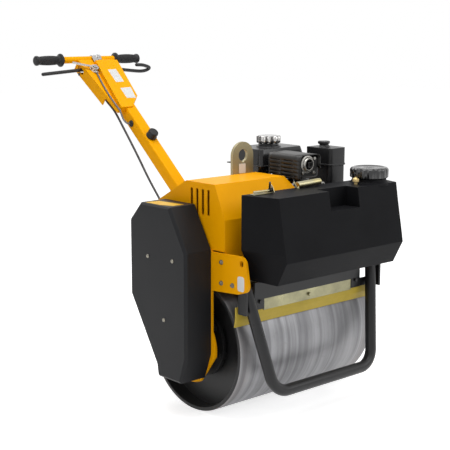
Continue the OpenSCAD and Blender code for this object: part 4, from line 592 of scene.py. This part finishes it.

# Lifting eye and blank tags. The eye is a thick flame-cut plate in dull olive zinc. Stuck on it and on the
# side plate's corner are blank white tags with round corners.
olive_zinc = coat("olive_zinc_plate", (0.40, 0.34, 0.19), (0.32, 0.285, 0.175), (0.36, 0.5), metal=0.6,
                  wear=0.3, radius=0.0012, scale=14.0, dusty=0.08)
dress(olive_zinc, "lifting_eye")
tag_white = coat("blank_tag", (0.74, 0.74, 0.73), (0.68, 0.68, 0.66), (0.32, 0.42), wear=0.0, radius=0.0002,
                 bump=0.00001)


def tag(name, body, corners, thick, rounding=0.003):
    """A blank stuck-on tag with round corners: four corners of its face and how far it stands out."""
    bm = bmesh.new()
    spots = [bm.verts.new(c) for c in corners]
    bm.faces.new(spots)
    bmesh.ops.bevel(bm, geom=spots, offset=rounding, segments=6, profile=0.5, affect="VERTICES", material=-1)
    grown = bmesh.ops.extrude_face_region(bm, geom=bm.faces[:])
    bmesh.ops.translate(bm, verts=[v for v in grown["geom"] if isinstance(v, bmesh.types.BMVert)], vec=thick)
    return make(bm, name, body, tag_white, "black_plastic")


tag("eye_tag", "root", [(-0.0785, 0.0279, 0.712), (-0.0505, 0.0279, 0.712), (-0.0505, 0.0279, 0.742),
                        (-0.0785, 0.0279, 0.742)], (0, -0.0006, 0))
tag("plate_tag", "root", [(-0.3049, -0.2408, 0.416), (-0.3049, -0.2124, 0.416), (-0.3049, -0.2124, 0.460),
                          (-0.3049, -0.2408, 0.460)], (-0.0006, 0, 0), 0.008)

# A thin yellow sheet on the cover's top: a painted reflection of the yellow hood in the cover's top face.
cover_top = 0.6461
hood_reflection_look = coat("painted_hood_reflection", (0.72, 0.40, 0.01), (0.78, 0.50, 0.05), (0.3, 0.45), wear=0.1, radius=0.0004,
                 scale=22.0, dusty=0.0, shine=0.3)
bm = bmesh.new()
solid(bm, [(-0.3933, 0.0986), (-0.3477, 0.0911), (-0.3359, -0.0120), (-0.3764, -0.0102), (-0.3934, 0.0293)],
      cover_top, cover_top + 0.0006, "Z")
make(bm, "cover_top_painted_reflection", "root", hood_reflection_look, "yellow_paint", sharp=40)

# Tank catch. Pale zinc: a hook plate and its upright at the tank's end beside the hood, a pin through
# them, a small link, and a round bar along the tank's top back edge.


def rod(bm, start, end, radius, sides=48):
    """A round bar between two points."""
    start, end = Vector(start), Vector(end)
    turn = (end - start).to_track_quat("Z", "Y").to_matrix().to_4x4()
    bmesh.ops.create_cone(bm, cap_ends=True, segments=sides, radius1=radius, radius2=radius,
                          depth=(end - start).length, matrix=Matrix.Translation((start + end) / 2) @ turn)


bm = bmesh.new()
# hook plate, its upright and the pin
solid(bm, [(-0.268, -0.242), (-0.212, -0.240), (-0.190, -0.236), (-0.190, -0.228), (-0.212, -0.224),
           (-0.268, -0.222)], 0.6925, 0.6950, "Z")
solid(bm, [(-0.246, 0.695), (-0.220, 0.695), (-0.225, 0.706), (-0.232, 0.717), (-0.240, 0.708)],
      -0.1930, -0.1905)
rod(bm, (-0.262, -0.232, 0.7), (-0.188, -0.232, 0.7), 0.0032, sides=20)
# link and round bar
solid(bm, [(-0.098, 0.713), (-0.092, 0.715), (-0.078, 0.695), (-0.064, 0.707), (-0.060, 0.702), (-0.076, 0.688),
           (-0.082, 0.6925)], -0.2285, -0.2260, "Y")
sweep(bm, [(-0.074, -0.222, 0.7020), (-0.070, -0.222, 0.7025), (-0.030, -0.222, 0.7035),
           (0.008, -0.222, 0.7050), (0.016, -0.222, 0.7050), (0.021, -0.222, 0.7045)], 0.0098, 28)
make(bm, "tank_catch", "root", zinc, "zinc_plate", "tank_strap", modifiers=[rounded_edge(0.0009, 3, 35)])

# Hood flare. The hood's front slope runs on past its side as one folded sheet, cut back along a slant
# from the hood's top, with the same yellow powder coat.
bm = bmesh.new()
spots = [(-0.0145, -0.107, 0.712), (0.016, -0.12275, 0.677), (0.046, -0.1385, 0.642), (0.046, -0.152, 0.612),
         (-0.0145, -0.152, 0.612)]
spots = [Vector(p) + Vector((0, 0.0008, 0.0002)) for p in spots]
low, high = [bm.verts.new(p) for p in spots], [bm.verts.new(p + Vector((0, 0.0027, -0.0012))) for p in spots]
bm.faces.new(low)
bm.faces.new(high)
for k in range(5):
    bm.faces.new((low[k], low[(k + 1) % 5], high[(k + 1) % 5], high[k]))
make(bm, "hood_flare", "root", yellow_paint, "yellow_paint")

# Scraper. An ochre painted steel angle just off the drum, an olive zinc strip that clamps it, and two
# black brackets that carry it.
ochre = coat("ochre_paint", (0.60, 0.44, 0.055), (0.50, 0.37, 0.05), (0.4, 0.55), worn_colour=(0.3, 0.26, 0.2),
             wear=0.3, scale=12.0, dusty=0.08, shine=0.3)
dress(ochre, "scraper_blade")
olive_bar = coat("olive_zinc_bar", (0.36, 0.34, 0.20), (0.20, 0.19, 0.12), (0.25, 0.4), metal=0.8, wear=0.1,
                 radius=0.0008, scale=14.0, dusty=0.04)
dress(olive_bar, "scraper_clamp")
dress(black_enamel, "scraper_brackets")

# Parking stand behind the drum, and the catch's short lever. Bent and welded steel bar, with the hoop's
# black enamel.
dress(black_enamel, "parking_stand", "latch_lever")

# Water tank. One hollow black moulding, 574 mm wide, with a leaning front, softly rounded edges, a
# hand-hold sunk into its top and front, and a flared shoulder under the filler cap.
hold_left, hold_right, hold_back, hold_floor, tank_top = -0.050, 0.076, -0.278, 0.633, 0.692
tank_back, tank_corner, front_half = -0.208, -0.216, 0.255
tank_levels = ((0.441, -0.324, 0.258), (0.510, -0.360, 0.2755), (0.533, -0.3562, 0.287),
               (hold_floor, -0.3372, 0.287), (tank_top, -0.327, 0.287))
filler_x, filler_y = 0.193, -0.270
bm = bmesh.new()
rings = []
for z, front, half in tank_levels:
    rings.append([bm.verts.new((x, y, z)) for x, y in (
        (-front_half, front), (hold_left, front), (hold_right, front), (front_half, front),
        (half, tank_corner), (half, tank_back), (-half, tank_back), (-half, tank_corner))])
for row, (a, b) in enumerate(zip(rings, rings[1:])):
    for k in range(8):
        if not (row == 3 and k == 1):       # the hand-hold's opening
            bm.faces.new((a[k], a[(k + 1) % 8], b[(k + 1) % 8], b[k]))
bm.faces.new(rings[0][::-1])
# the hand-hold's back, floor and two sides, and the top round it
low_left, top_left, low_right, top_right = [bm.verts.new((x, hold_back, z)) for x in (hold_left, hold_right)
                                            for z in (hold_floor, tank_top)]
bm.faces.new([rings[4][0], rings[4][1], top_left, top_right] + rings[4][2:])
bm.faces.new((rings[3][1], rings[3][2], low_right, low_left))
bm.faces.new((low_left, low_right, top_right, top_left))
bm.faces.new((rings[3][1], low_left, top_left, rings[4][1]))
bm.faces.new((rings[3][2], rings[4][2], top_right, low_right))
# the shoulder under the cap
turned(bm, [(-0.006, 0.063), (0.0, 0.061), (0.003, 0.057), (0.007, 0.0535), (0.013, 0.052), (0.0138, 0.051),
            (0.014, 0.046), (0.023, 0.046), (0.024, 0.045)], facing("Z", filler_x, filler_y, tank_top), 96)
tank_black = coat("tank_black_moulding", (0.0072, 0.0073, 0.0083), (0.0102, 0.0104, 0.0117), (0.42, 0.54),
                  worn_colour=(0.03, 0.03, 0.03), wear=0.2, radius=0.002, scale=6.0, fine=620.0, bump=0.00012,
                  dusty=0.0, shine=0.05)
make(bm, "tank_moulding", "root", tank_black, "charcoal_moulding", "water_tank",
     modifiers=[rounded_edge(0.007, 5, 14)])

# Tank filler cap. A glossy black moulding, 119 mm wide, with sixteen broad grip flutes round it and a
# shallow dish on top. It screws down on the tank's shoulder.
gloss_black = coat("gloss_black_moulding", (0.008, 0.008, 0.009), (0.012, 0.012, 0.013), (0.14, 0.24), wear=0.1,
                   worn_colour=(0.06, 0.06, 0.06), radius=0.0015, scale=9.0, fine=480.0, bump=0.00003,
                   dusty=0.08, gloss=0.3)
filler_seat = 0.706
bm = bmesh.new()
turned(bm, [(0.0003, 0.052), (0.001, 0.057), (0.003, 0.0595), (0.025, 0.0595), (0.028, 0.0585), (0.0315, 0.055),
            (0.0328, 0.050), (0.0328, 0.046), (0.0308, 0.043), (0.0308, 0.012), (0.0318, 0.010)],
       facing("Z", filler_x, filler_y, filler_seat), 192, 16, 0.0022, {1, 2, 3, 4})
make(bm, "filler_cap", "water_filler_cap", gloss_black, "black_plastic", "water_cap", sharp=50)

# Brass plug. A turned hexagon, 20 mm over its corners, on a narrow neck, screwed into the tank's top
# beside the cap.
brass = coat("turned_brass", (0.78, 0.60, 0.27), (0.60, 0.45, 0.20), (0.22, 0.4), metal=1.0, wear=0.0,
             radius=0.0006, scale=26.0, dusty=0.06)
bm = bmesh.new()
turned(bm, [(0.0, 0.006), (0.006, 0.006), (0.0062, 0.009), (0.008, 0.0095), (0.0082, 0.010), (0.017, 0.010),
            (0.0185, 0.0085), (0.0185, 0.005), (0.022, 0.0045)], facing("Z", 0.122, -0.278, tank_top), 6)
make(bm, "brass_plug", "root", brass, "brass", "brass_fitting", modifiers=[rounded_edge(0.0006, 2, 30)])

# Handle pole. A square steel tube, 46 mm, with generous corners and the yellow coat, on a round knuckle
# that turns between the deck's lugs.
pole_turn = Matrix.Translation((0, 0.300, 0.514)) @ Matrix.Rotation(math.radians(41.5), 4, "X")
pole_half = 0.023
bm = bmesh.new()
solid(bm, [(-pole_half, -pole_half), (pole_half, -pole_half), (pole_half, pole_half), (-pole_half, pole_half)],
      0.004, 0.548, "Y")
bmesh.ops.bevel(bm, geom=[e for e in bm.edges if abs((e.verts[0].co - e.verts[1].co).normalized().y) > 0.9],
                offset=0.006, segments=6, profile=0.5, affect="EDGES")
turned(bm, [(-0.023, 0.021), (-0.021, 0.023), (0.021, 0.023), (0.023, 0.021)], facing("X", 0, 0, 0), 64)
bmesh.ops.transform(bm, matrix=pole_turn, verts=bm.verts)
make(bm, "square_pole", "handle", yellow_paint, "yellow_paint", "handle_pole")

# Buffer and grommet. A black rubber buffer on top of the pole and a cable grommet in its side, both
# moulded with soft edges.
soft_rubber = coat("soft_black_rubber", (0.006, 0.006, 0.007), (0.010, 0.010, 0.011), (0.45, 0.6), wear=0.1,
                   worn_colour=(0.06, 0.06, 0.06), radius=0.0012, scale=14.0, fine=420.0, bump=0.00014,
                   dusty=0.04, shine=0.35)
bm = bmesh.new()
turned(bm, [(0.0, 0.0165), (0.001, 0.0185), (0.003, 0.0198), (0.006, 0.0198), (0.009, 0.0175), (0.015, 0.0168),
            (0.019, 0.0185), (0.024, 0.0175), (0.0258, 0.0155), (0.026, 0.012)],
       facing("Z", 0, 0.378, pole_half), 64)
turned(bm, [(0.0, 0.0115), (0.0015, 0.012), (0.004, 0.0115), (0.006, 0.009), (0.006, 0.005), (0.0045, 0.0042)],
       facing("-X", -pole_half, 0.466, 0), 48)
bmesh.ops.transform(bm, matrix=pole_turn, verts=bm.verts)
make(bm, "buffer_and_grommet", "handle", soft_rubber, "rubber", "handle_buffer", sharp=50)

# Grips. Barrel-shaped black rubber, 118 mm long, finely ribbed along, with a guard flange at the inner end
# and a lip at the outer one, pushed on the handlebar.
console_turned = Matrix.Translation((0, bar_y, bar_z)) @ Matrix.Rotation(console_turn, 4, "X")
grip_profile = [(0.0, 0.010), (0.0006, 0.0145), (0.003, 0.0172), (0.007, 0.0180), (0.011, 0.0172),
                (0.014, 0.0155), (0.018, 0.0150), (0.026, 0.0158), (0.040, 0.0170), (0.060, 0.0175),
                (0.078, 0.0168), (0.092, 0.0154), (0.098, 0.0153), (0.101, 0.0175), (0.103, 0.0215),
                (0.106, 0.0240), (0.110, 0.0240), (0.1125, 0.0215), (0.114, 0.0175), (0.118, 0.0150)]
grip_tip = 0.231
bm = bmesh.new()
for side, axis in ((-1, "X"), (1, "-X")):
    turned(bm, grip_profile, facing(axis, side * grip_tip, 0, 0), 144, 24, 0.0013, set(range(6, 13)))
bmesh.ops.transform(bm, matrix=console_turned, verts=bm.verts)
make(bm, "ribbed_grips", "handle", soft_rubber, "rubber", "grips", sharp=60)

# Travel lever. One bent black enamelled rod, 13 mm thick, with rounded tips, hooked back on itself at one
# end. It turns on a thinner rod under the console, to which two flat links join it.
lever_line = smooth_route([(-0.214, -0.047, -0.025), (-0.069, -0.047, -0.0121), (-0.045, -0.047, -0.011),
                           (0.088, -0.047, -0.011), (0.112, -0.047, -0.0121), (0.228, -0.047, -0.025),
                           (0.262, -0.047, -0.011), (0.228, -0.047, 0.003), (0.194, -0.047, 0.0058)], 12)
lever_radius = 0.0064
bm = bmesh.new()
sweep(bm, lever_line, lever_radius, 28)
for tip in (lever_line[0], lever_line[-1]):
    bmesh.ops.create_uvsphere(bm, u_segments=24, v_segments=14, radius=lever_radius,
                              matrix=Matrix.Translation(tip))
# the rod that it turns on, and the links
rod(bm, (-0.057, -0.047, -0.030), (0.100, -0.047, -0.030), 0.006)
for x in (-0.027, 0.070):
    solid(bm, [(-0.0535, -0.0365), (-0.0405, -0.0365), (-0.0405, -0.011), (-0.0535, -0.011)],
          x - 0.003, x + 0.003)
bmesh.ops.transform(bm, matrix=console_turned, verts=bm.verts)
make(bm, "travel_bar", "travel", black_enamel, "black_paint", "travel_lever", sharp=50)

# Throttle. A chromed friction stack on a plate of the console, its saddle on the handlebar, a cable
# stop, and the flat arm that turns on the stack.
bright_chrome = coat("bright_chrome", (0.56, 0.55, 0.54), (0.42, 0.41, 0.40), (0.10, 0.24), metal=1.0, wear=0.0,
                     radius=0.0008, scale=24.0, dusty=0.03)
bm = bmesh.new()
# friction stack and saddle
turned(bm, [(0.0, 0.016), (0.002, 0.016), (0.002, 0.0135), (0.0058, 0.0135), (0.0058, 0.004), (0.0155, 0.004),
            (0.0155, 0.0085), (0.0185, 0.0085), (0.0185, 0.004), (0.022, 0.0038)],
       facing("Z", -0.022, -0.075, 0.010), 48)
turned(bm, [(0.0, 0.0131), (0.0, 0.0165), (0.0015, 0.0172), (0.011, 0.0172), (0.012, 0.0155), (0.024, 0.0155),
            (0.025, 0.0172), (0.0345, 0.0172), (0.036, 0.0165), (0.036, 0.0131)], facing("X", 0.014, 0, 0), 64)
# plate under the stack, with the cable stop and two screws
solid(bm, [(-0.034, -0.094), (-0.010, -0.098), (-0.012, -0.060), (-0.032, -0.060)], 0.010, 0.0122, "Z")
rod(bm, (-0.0235, -0.084, 0.015), (-0.0262, -0.101, 0.0148), 0.0048, sides=24)
for x, y in ((-0.017, -0.0935), (-0.031, -0.0905)):
    turned(bm, [(0.0, 0.0042), (0.0028, 0.0042), (0.0034, 0.0034)], facing("Z", x, y, 0.0122), 6)
# strap from the saddle, with its screw
solid(bm, [(0.002, -0.034), (0.012, -0.036), (0.052, 0.0), (0.040, 0.010), (0.008, -0.004)],
      0.0145, 0.0165, "Z")
turned(bm, [(0.0, 0.006), (0.004, 0.006), (0.0046, 0.005)], facing("Z", 0.030, -0.004, 0.0165), 6)
bmesh.ops.transform(bm, matrix=console_turned, verts=bm.verts)
make(bm, "throttle_bracket", "handle", bright_chrome, "zinc_plate", "throttle_clamp",
     modifiers=[rounded_edge(0.0004, 2, 35)])
bm = bmesh.new()
# the discs that turn, and their arm
turned(bm, [(0.0, 0.012), (0.0006, 0.0135), (0.0022, 0.0135), (0.003, 0.0115), (0.005, 0.0115),
            (0.0056, 0.0138), (0.0078, 0.0138), (0.008, 0.0125)], facing("Z", -0.022, -0.075, 0.0163), 48)
arm_low, arm_high = 0.0205, 0.0240
arm = [(0.0, -0.006), (0.030, -0.0048), (0.034, -0.0045), (0.078, -0.0048), (0.084, -0.0055), (0.0875, -0.002),
       (0.0875, 0.002), (0.084, 0.0055), (0.078, 0.0048), (0.034, 0.0045), (0.030, 0.0048), (0.0, 0.006)]
away = Matrix.Translation((-0.022, -0.075, 0)) @ Matrix.Rotation(math.radians(159), 4, "Z")
count = len(bm.verts)
solid(bm, arm, arm_low, arm_high, "Z")
bm.verts.ensure_lookup_table()
bmesh.ops.transform(bm, matrix=away, verts=bm.verts[count:])
bmesh.ops.transform(bm, matrix=console_turned, verts=bm.verts)
make(bm, "throttle_arm", "throttle", bright_chrome, "chrome", "throttle_lever",
     modifiers=[rounded_edge(0.0004, 2, 35)])

# Console tags. Two blank white tags of thin plastic with round corners, one above the other, stuck flat
# on the console.
console_face = 0.0241
for tag_name, corners in (
        ("console_tag_high", ((0.022, -0.095), (0.060, -0.093), (0.051, -0.168), (0.014, -0.169))),
        ("console_tag_low", ((0.011, -0.204), (0.060, -0.201), (0.045, -0.264), (0.005, -0.261)))):
    thick = Vector(on_console(0, 0, 0.0006)) - Vector(on_console(0, 0, 0))
    tag(tag_name, "handle", [on_console(x, y, console_face) for x, y in corners], thick)

# Engine castings. The crankcase, finned cylinder and carburettor and the drive's gear case are cast in
# silver alloy, with a fine sandy skin and rubbed edges.
cast_alloy = coat("cast_alloy", (0.40, 0.40, 0.40), (0.28, 0.28, 0.28), (0.36, 0.52), metal=0.9, wear=0.2,
                  radius=0.0012, scale=18.0, fine=420.0, bump=0.0002, dusty=0.08)
dress(cast_alloy, "crankcase", "engine_cylinder", "transmission", "carburettor")

# Fan shroud and recoil cover. Pressed steel with a satin black coat, bolted to the crankcase's side over
# the fan and the starter.
satin_black = coat("satin_black_coat", (0.008, 0.008, 0.009), (0.012, 0.012, 0.013), (0.22, 0.36),
                   worn_colour=(0.05, 0.05, 0.05), wear=0.2, radius=0.0012, scale=10.0, fine=300.0,
                   bump=0.00004, dusty=0.03, gloss=0.1, shine=0.35)
dress(satin_black, "fan_shroud", "recoil_cover")

# Fuel tank. Two pressed black shells, 214 by 154 mm, joined at a flat seam that stands out, the upper
# one drawn in towards its top, with a raised neck under its cap.


def upright_edges(bm, verts):
    """The edges between some vertices that run up."""
    return [e for e in bm.edges if e.verts[0] in verts and e.verts[1] in verts
            and abs(e.verts[0].co.z - e.verts[1].co.z) > 0.001]


fuel_right, fuel_front, fuel_rear = 0.214, 0.012, 0.166
fuel_x, fuel_y = 0.100, 0.080
bm = bmesh.new()
for low, high, inset, narrowed, round_off in ((0.700, 0.7285, 0.004, 0.003, 0.014),
                                              (0.7265, 0.7305, -0.003, 0.0, 0.008),
                                              (0.7300, 0.7795, 0.001, 0.012, 0.016)):
    outline = [(inset, fuel_front + inset), (fuel_right - inset, fuel_front + inset),
               (fuel_right - inset, fuel_rear - inset), (inset, fuel_rear - inset)]
    count = len(bm.verts)
    solid(bm, outline, low, high, "Z")
    bm.verts.ensure_lookup_table()
    around = set(bm.verts[count:])
    far_z = high if high > 0.75 else low
    for v in around:
        if abs(v.co.z - far_z) < 0.0001:
            v.co.x += narrowed if v.co.x < fuel_right / 2 else -narrowed
            v.co.y += narrowed if v.co.y < (fuel_front + fuel_rear) / 2 else -narrowed
    bmesh.ops.bevel(bm, geom=upright_edges(bm, around), offset=round_off, segments=8, profile=0.5,
                    affect="EDGES")
turned(bm, [(-0.002, 0.042), (0.003, 0.040), (0.006, 0.034), (0.0115, 0.032)],
       facing("Z", fuel_x, fuel_y, 0.780), 64)
make(bm, "fuel_tank_shells", "root", satin_black, "black_paint", "fuel_tank",
     modifiers=[rounded_edge(0.004, 4, 50)])

# Fuel cap. Chromed pressed steel, 80 mm over its twelve deep scallops and flat on top. Dark reflections are
# painted on it in a darker chrome, in upright bands round its side and in stripes across its top. It turns on
# the tank's neck.
bm = bmesh.new()
turned(bm, [(0.0003, 0.036), (0.001, 0.0390), (0.003, 0.040), (0.0205, 0.040), (0.0225, 0.0385),
            (0.0235, 0.034), (0.0238, 0.026), (0.0235, 0.010)],
       facing("Z", fuel_x, fuel_y, 0.792), 192, 12, 0.0045, {1, 2, 3, 4, 5})
cap = make(bm, "scalloped_fuel_cap", "fuel_filler_cap", bright_chrome, "chrome", "fuel_cap", sharp=60)
# A darker chrome that paints dark reflections on the cap: upright bands round its side and stripes across its
# top.
cap_painted_reflection = coat("chrome_painted_reflection", (0.075, 0.072, 0.07), (0.16, 0.155, 0.15), (0.1, 0.25), metal=1.0, wear=0.0,
                   radius=0.0008, scale=24.0, dusty=0.0)
cap.data.materials.append(cap_painted_reflection)
for face in cap.data.polygons:
    across, back = face.center.x - fuel_x, face.center.y - fuel_y
    from_middle, round_turn = math.hypot(across, back), math.atan2(back, across)
    # faces in upright bands round the side and in stripes on the top get the painted dark reflections
    side_painted_reflection = math.sin(round_turn * 12 + 0.8) + 0.6 * math.sin(round_turn * 5) > 0.25
    top_painted_reflection = math.sin(across * 130 + back * 60) > 0.2
    if from_middle > 0.030 and side_painted_reflection or from_middle < 0.027 and top_painted_reflection:
        face.material_index = 1

# Silencer. A black pressed box, 84 by 132 by 68 mm, with soft edges, on its pipe from the cylinder. On its
# front are three screws and a steel outlet ring round a square spark arrestor.
heat_black = coat("heat_black_steel", (0.010, 0.0098, 0.0095), (0.017, 0.016, 0.015), (0.30, 0.46),
                  worn_colour=(0.07, 0.065, 0.06), wear=0.3, radius=0.001, scale=16.0, fine=260.0, bump=0.0001,
                  dusty=0.03, shine=0.4)
box_front = -0.138
bm = bmesh.new()
solid(bm, [(0.024, box_front), (0.108, box_front), (0.108, -0.006), (0.024, -0.006)], 0.700, 0.768, "Z")
rod(bm, (0.084, -0.070, 0.644), (0.084, -0.070, 0.702), 0.013)
make(bm, "silencer_box", "root", heat_black, "heat_black", "muffler", modifiers=[rounded_edge(0.011, 6, 50)])
dull_steel = coat("dull_exhaust_steel", (0.42, 0.41, 0.38), (0.28, 0.27, 0.25), (0.28, 0.45), metal=1.0,
                  wear=0.0, radius=0.0008, scale=40.0, dusty=0.05)
bm = bmesh.new()
turned(bm, [(0.0, 0.0275), (0.002, 0.0275), (0.003, 0.0225), (0.009, 0.0205), (0.0105, 0.0190),
            (0.0105, 0.0165), (0.008, 0.0158), (-0.006, 0.0150)], facing("-Y", 0.054, box_front, 0.7455), 72)
for x, z in ((0.034, 0.720), (0.082, 0.718), (0.084, 0.762)):
    turned(bm, [(0.0, 0.0055), (0.004, 0.0055), (0.005, 0.0045)], facing("-Y", x, box_front, z), 6)
make(bm, "outlet_ring", "root", dull_steel, "steel", sharp=40)
bm = bmesh.new()
turned(bm, [(0.0, 0.0125), (0.007, 0.0125), (0.007, 0.0095), (0.002, 0.0090)],
       facing("-Y", 0.058, -0.1415, 0.744) @ Matrix.Rotation(math.pi / 4, 4, "Z"), 4)
make(bm, "spark_arrestor", "root", heat_black, "heat_black", modifiers=[rounded_edge(0.0006, 2, 40)])

# Heat shield. A 1.5 mm black sheet folded over the silencer with soft bends, and with two columns of five
# slots in its upright side.
bend = []
for middle_x, middle_z, bend_radius, from_angle in ((0.0310, 0.7600, 0.015, 180), (0.0930, 0.7610, 0.014, 90)):
    bend += [(middle_x + bend_radius * math.cos(a), middle_z + bend_radius * math.sin(a))
             for a in (math.radians(from_angle - 15 * k) for k in range(7))]
slot_edges = (0.700, 0.7065, 0.7095, 0.7185, 0.7215, 0.7305, 0.7335, 0.7425, 0.7455, 0.7545, 0.7575)
fold = [(0.016, z) for z in slot_edges] + bend + [(0.107, 0.745), (0.107, 0.730)]
stations = (-0.146, -0.115, -0.073, -0.058, -0.016, -0.006)
shield_sheet = 0.0015
bm = bmesh.new()
net = [[bm.verts.new((x, y, z)) for y in stations] for x, z in fold]
for i in range(len(fold) - 1):
    for j in range(len(stations) - 1):
        if not (i in (1, 3, 5, 7, 9) and j in (1, 3)):      # the slots
            bm.faces.new((net[i][j], net[i + 1][j], net[i + 1][j + 1], net[i][j + 1]))
make(bm, "slotted_shield", "root", heat_black, "heat_black", "muffler_shield", sharp=50,
     modifiers=[("SOLIDIFY", {"thickness": shield_sheet, "offset": -1.0})])

# Air cleaner. A black moulded box, 74 by 100 mm, with a lid that laps over it at a seam, and a knob with
# three lobes on a raised boss. Each part has three round corners, and one at the rear that is sharper.
# The engine's small levers, its plug cap and its starter grip are moulded in the same black.
moulded_black = coat("moulded_black", (0.008, 0.008, 0.009), (0.012, 0.012, 0.013), (0.28, 0.40), wear=0.15,
                     worn_colour=(0.06, 0.06, 0.06), radius=0.0014, scale=9.0, fine=520.0, bump=0.0001,
                     dusty=0.03, shine=0.35)
air_left, air_right, air_front, air_rear, lid_top = 0.176, 0.250, -0.122, -0.022, 0.783
air_middle, corner_round = (air_front + air_rear) / 2, 0.014
for piece_name, node, parts, edge_width in (
        ("air_box", "air_cleaner_base", ((0.660, 0.727, 0.0, air_right),), 0.0022),
        ("air_lid", "air_cleaner_lid", ((0.7273, 0.733, 0.003, air_right), (0.731, lid_top, 0.0015, air_left)),
         0.0055)):
    bm = bmesh.new()
    for low, high, grow, sharp_corner in parts:
        outline = [(air_left - grow, air_front - grow), (air_right + grow, air_front - grow),
                   (air_right + grow, air_rear + grow), (air_left - grow, air_rear + grow)]
        top = solid(bm, outline, low, high, "Z")
        round_corners = [v for v in top if abs(v.co.x - sharp_corner) > corner_round or v.co.y < air_middle]
        around = {end for v in round_corners for e in v.link_edges for end in e.verts}
        bmesh.ops.bevel(bm, geom=upright_edges(bm, around), offset=corner_round, segments=8, profile=0.5,
                        affect="EDGES")
    if node == "air_cleaner_lid":
        turned(bm, [(-0.001, 0.022), (0.002, 0.020), (0.005, 0.0165), (0.003, 0.0175), (0.007, 0.0155),
                    (0.0092, 0.0150), (0.0100, 0.0175), (0.0118, 0.0205), (0.0175, 0.0205), (0.0195, 0.0180),
                    (0.0197, 0.004)], facing("Z", 0.201, -0.072, lid_top), 96, 3, 0.0035, {5, 6, 7, 8, 9})
    make(bm, piece_name, "root", moulded_black, "black_plastic", node,
         modifiers=[rounded_edge(edge_width, 4, 50)])
dress(moulded_black, "spark_plug_cap", "recoil_grip", "choke_lever", "fuel_valve_lever")

# Valve cover. A dull silver casting with soft edges, bolted on the cylinder's end, seen between the
# silencer and the water tank.
bm = bmesh.new()
solid(bm, [(0.010, -0.188), (0.086, -0.184), (0.096, -0.170), (0.092, -0.152), (0.010, -0.156)],
      0.676, 0.6935, "Z")
make(bm, "valve_cover", "root", dull_steel, "alloy", modifiers=[rounded_edge(0.0055, 4, 40)])

# Engine switch and water tap lever. Small parts moulded in red plastic, one on the engine's side and one
# on the tap of the sprinkler pipe.
signal_red = coat("signal_red_plastic", (0.50, 0.022, 0.015), (0.42, 0.02, 0.014), (0.3, 0.42), wear=0.1,
                  fine=500.0, bump=0.0001)
dress(signal_red, "engine_switch", "water_tap_lever")

# Water hose. Black rubber with a soft sheen, 8 mm thick, from the tap to the tank's foot, with a cuff at
# each end and a third one on the sprinkler pipe.
hose_radius, cuff_radius, pipe_cuff_radius = 0.0040, 0.0055, 0.0058
bm = bmesh.new()
rod(bm, (0.2603, -0.170, 0.424), (0.2758, -0.170, 0.424), pipe_cuff_radius, sides=32)
rod(bm, (0.2696, -0.170, 0.4300), (0.2696, -0.170, 0.4358), cuff_radius, sides=32)
rod(bm, (0.257, -0.224, 0.4285), (0.257, -0.224, 0.4408), cuff_radius, sides=32)
hose_route = smooth_route([(0.2696, -0.170, 0.4310), (0.265, -0.188, 0.4310), (0.259, -0.208, 0.4310),
                           (0.257, -0.224, 0.4310)], 8)
sweep(bm, hose_route, hose_radius, 20)
make(bm, "feed_hose", "root", soft_rubber, "rubber", "water_hose", sharp=50)

# Starter rope. Braided white cord, 4 mm thick, of which 8 mm show between the recoil cover and the black
# grip. The rest is wound up inside, and comes out as the grip is pulled.
rope_white = coat("rope_white", (0.6, 0.59, 0.55), (0.45, 0.44, 0.4), (0.6, 0.75), wear=0.0, fine=900.0,
                  bump=0.0002)
recoil_x, recoil_y, recoil_z, eyelet_out, eyelet_turn = 0.262, 0.045, 0.584, 0.084, math.radians(69.5)
rope_shows, rope_radius, braid_step, braid_depth = 0.008, 0.002, 0.00012, 0.0003
rope_out = Vector((0, 0.35, 0.937)).normalized()
rope_foot = Vector((recoil_x, recoil_y + eyelet_out * math.cos(eyelet_turn),
                    recoil_z + eyelet_out * math.sin(eyelet_turn)))
rope_frame = Matrix.Translation(rope_foot) @ rope_out.to_track_quat("Z", "Y").to_matrix().to_4x4()
bm = bmesh.new()
turned(bm, [(rope_shows * k / 16, rope_radius + braid_step * (k % 2)) for k in range(17)], rope_frame, 24, 6,
       braid_depth)
starter_rope = make(bm, "starter_rope", None, rope_white, "cord_white", "recoil_rope", sharp=60)
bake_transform(starter_rope)

# Sizes. The box round the dressed machine, the floor left out.
low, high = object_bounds()
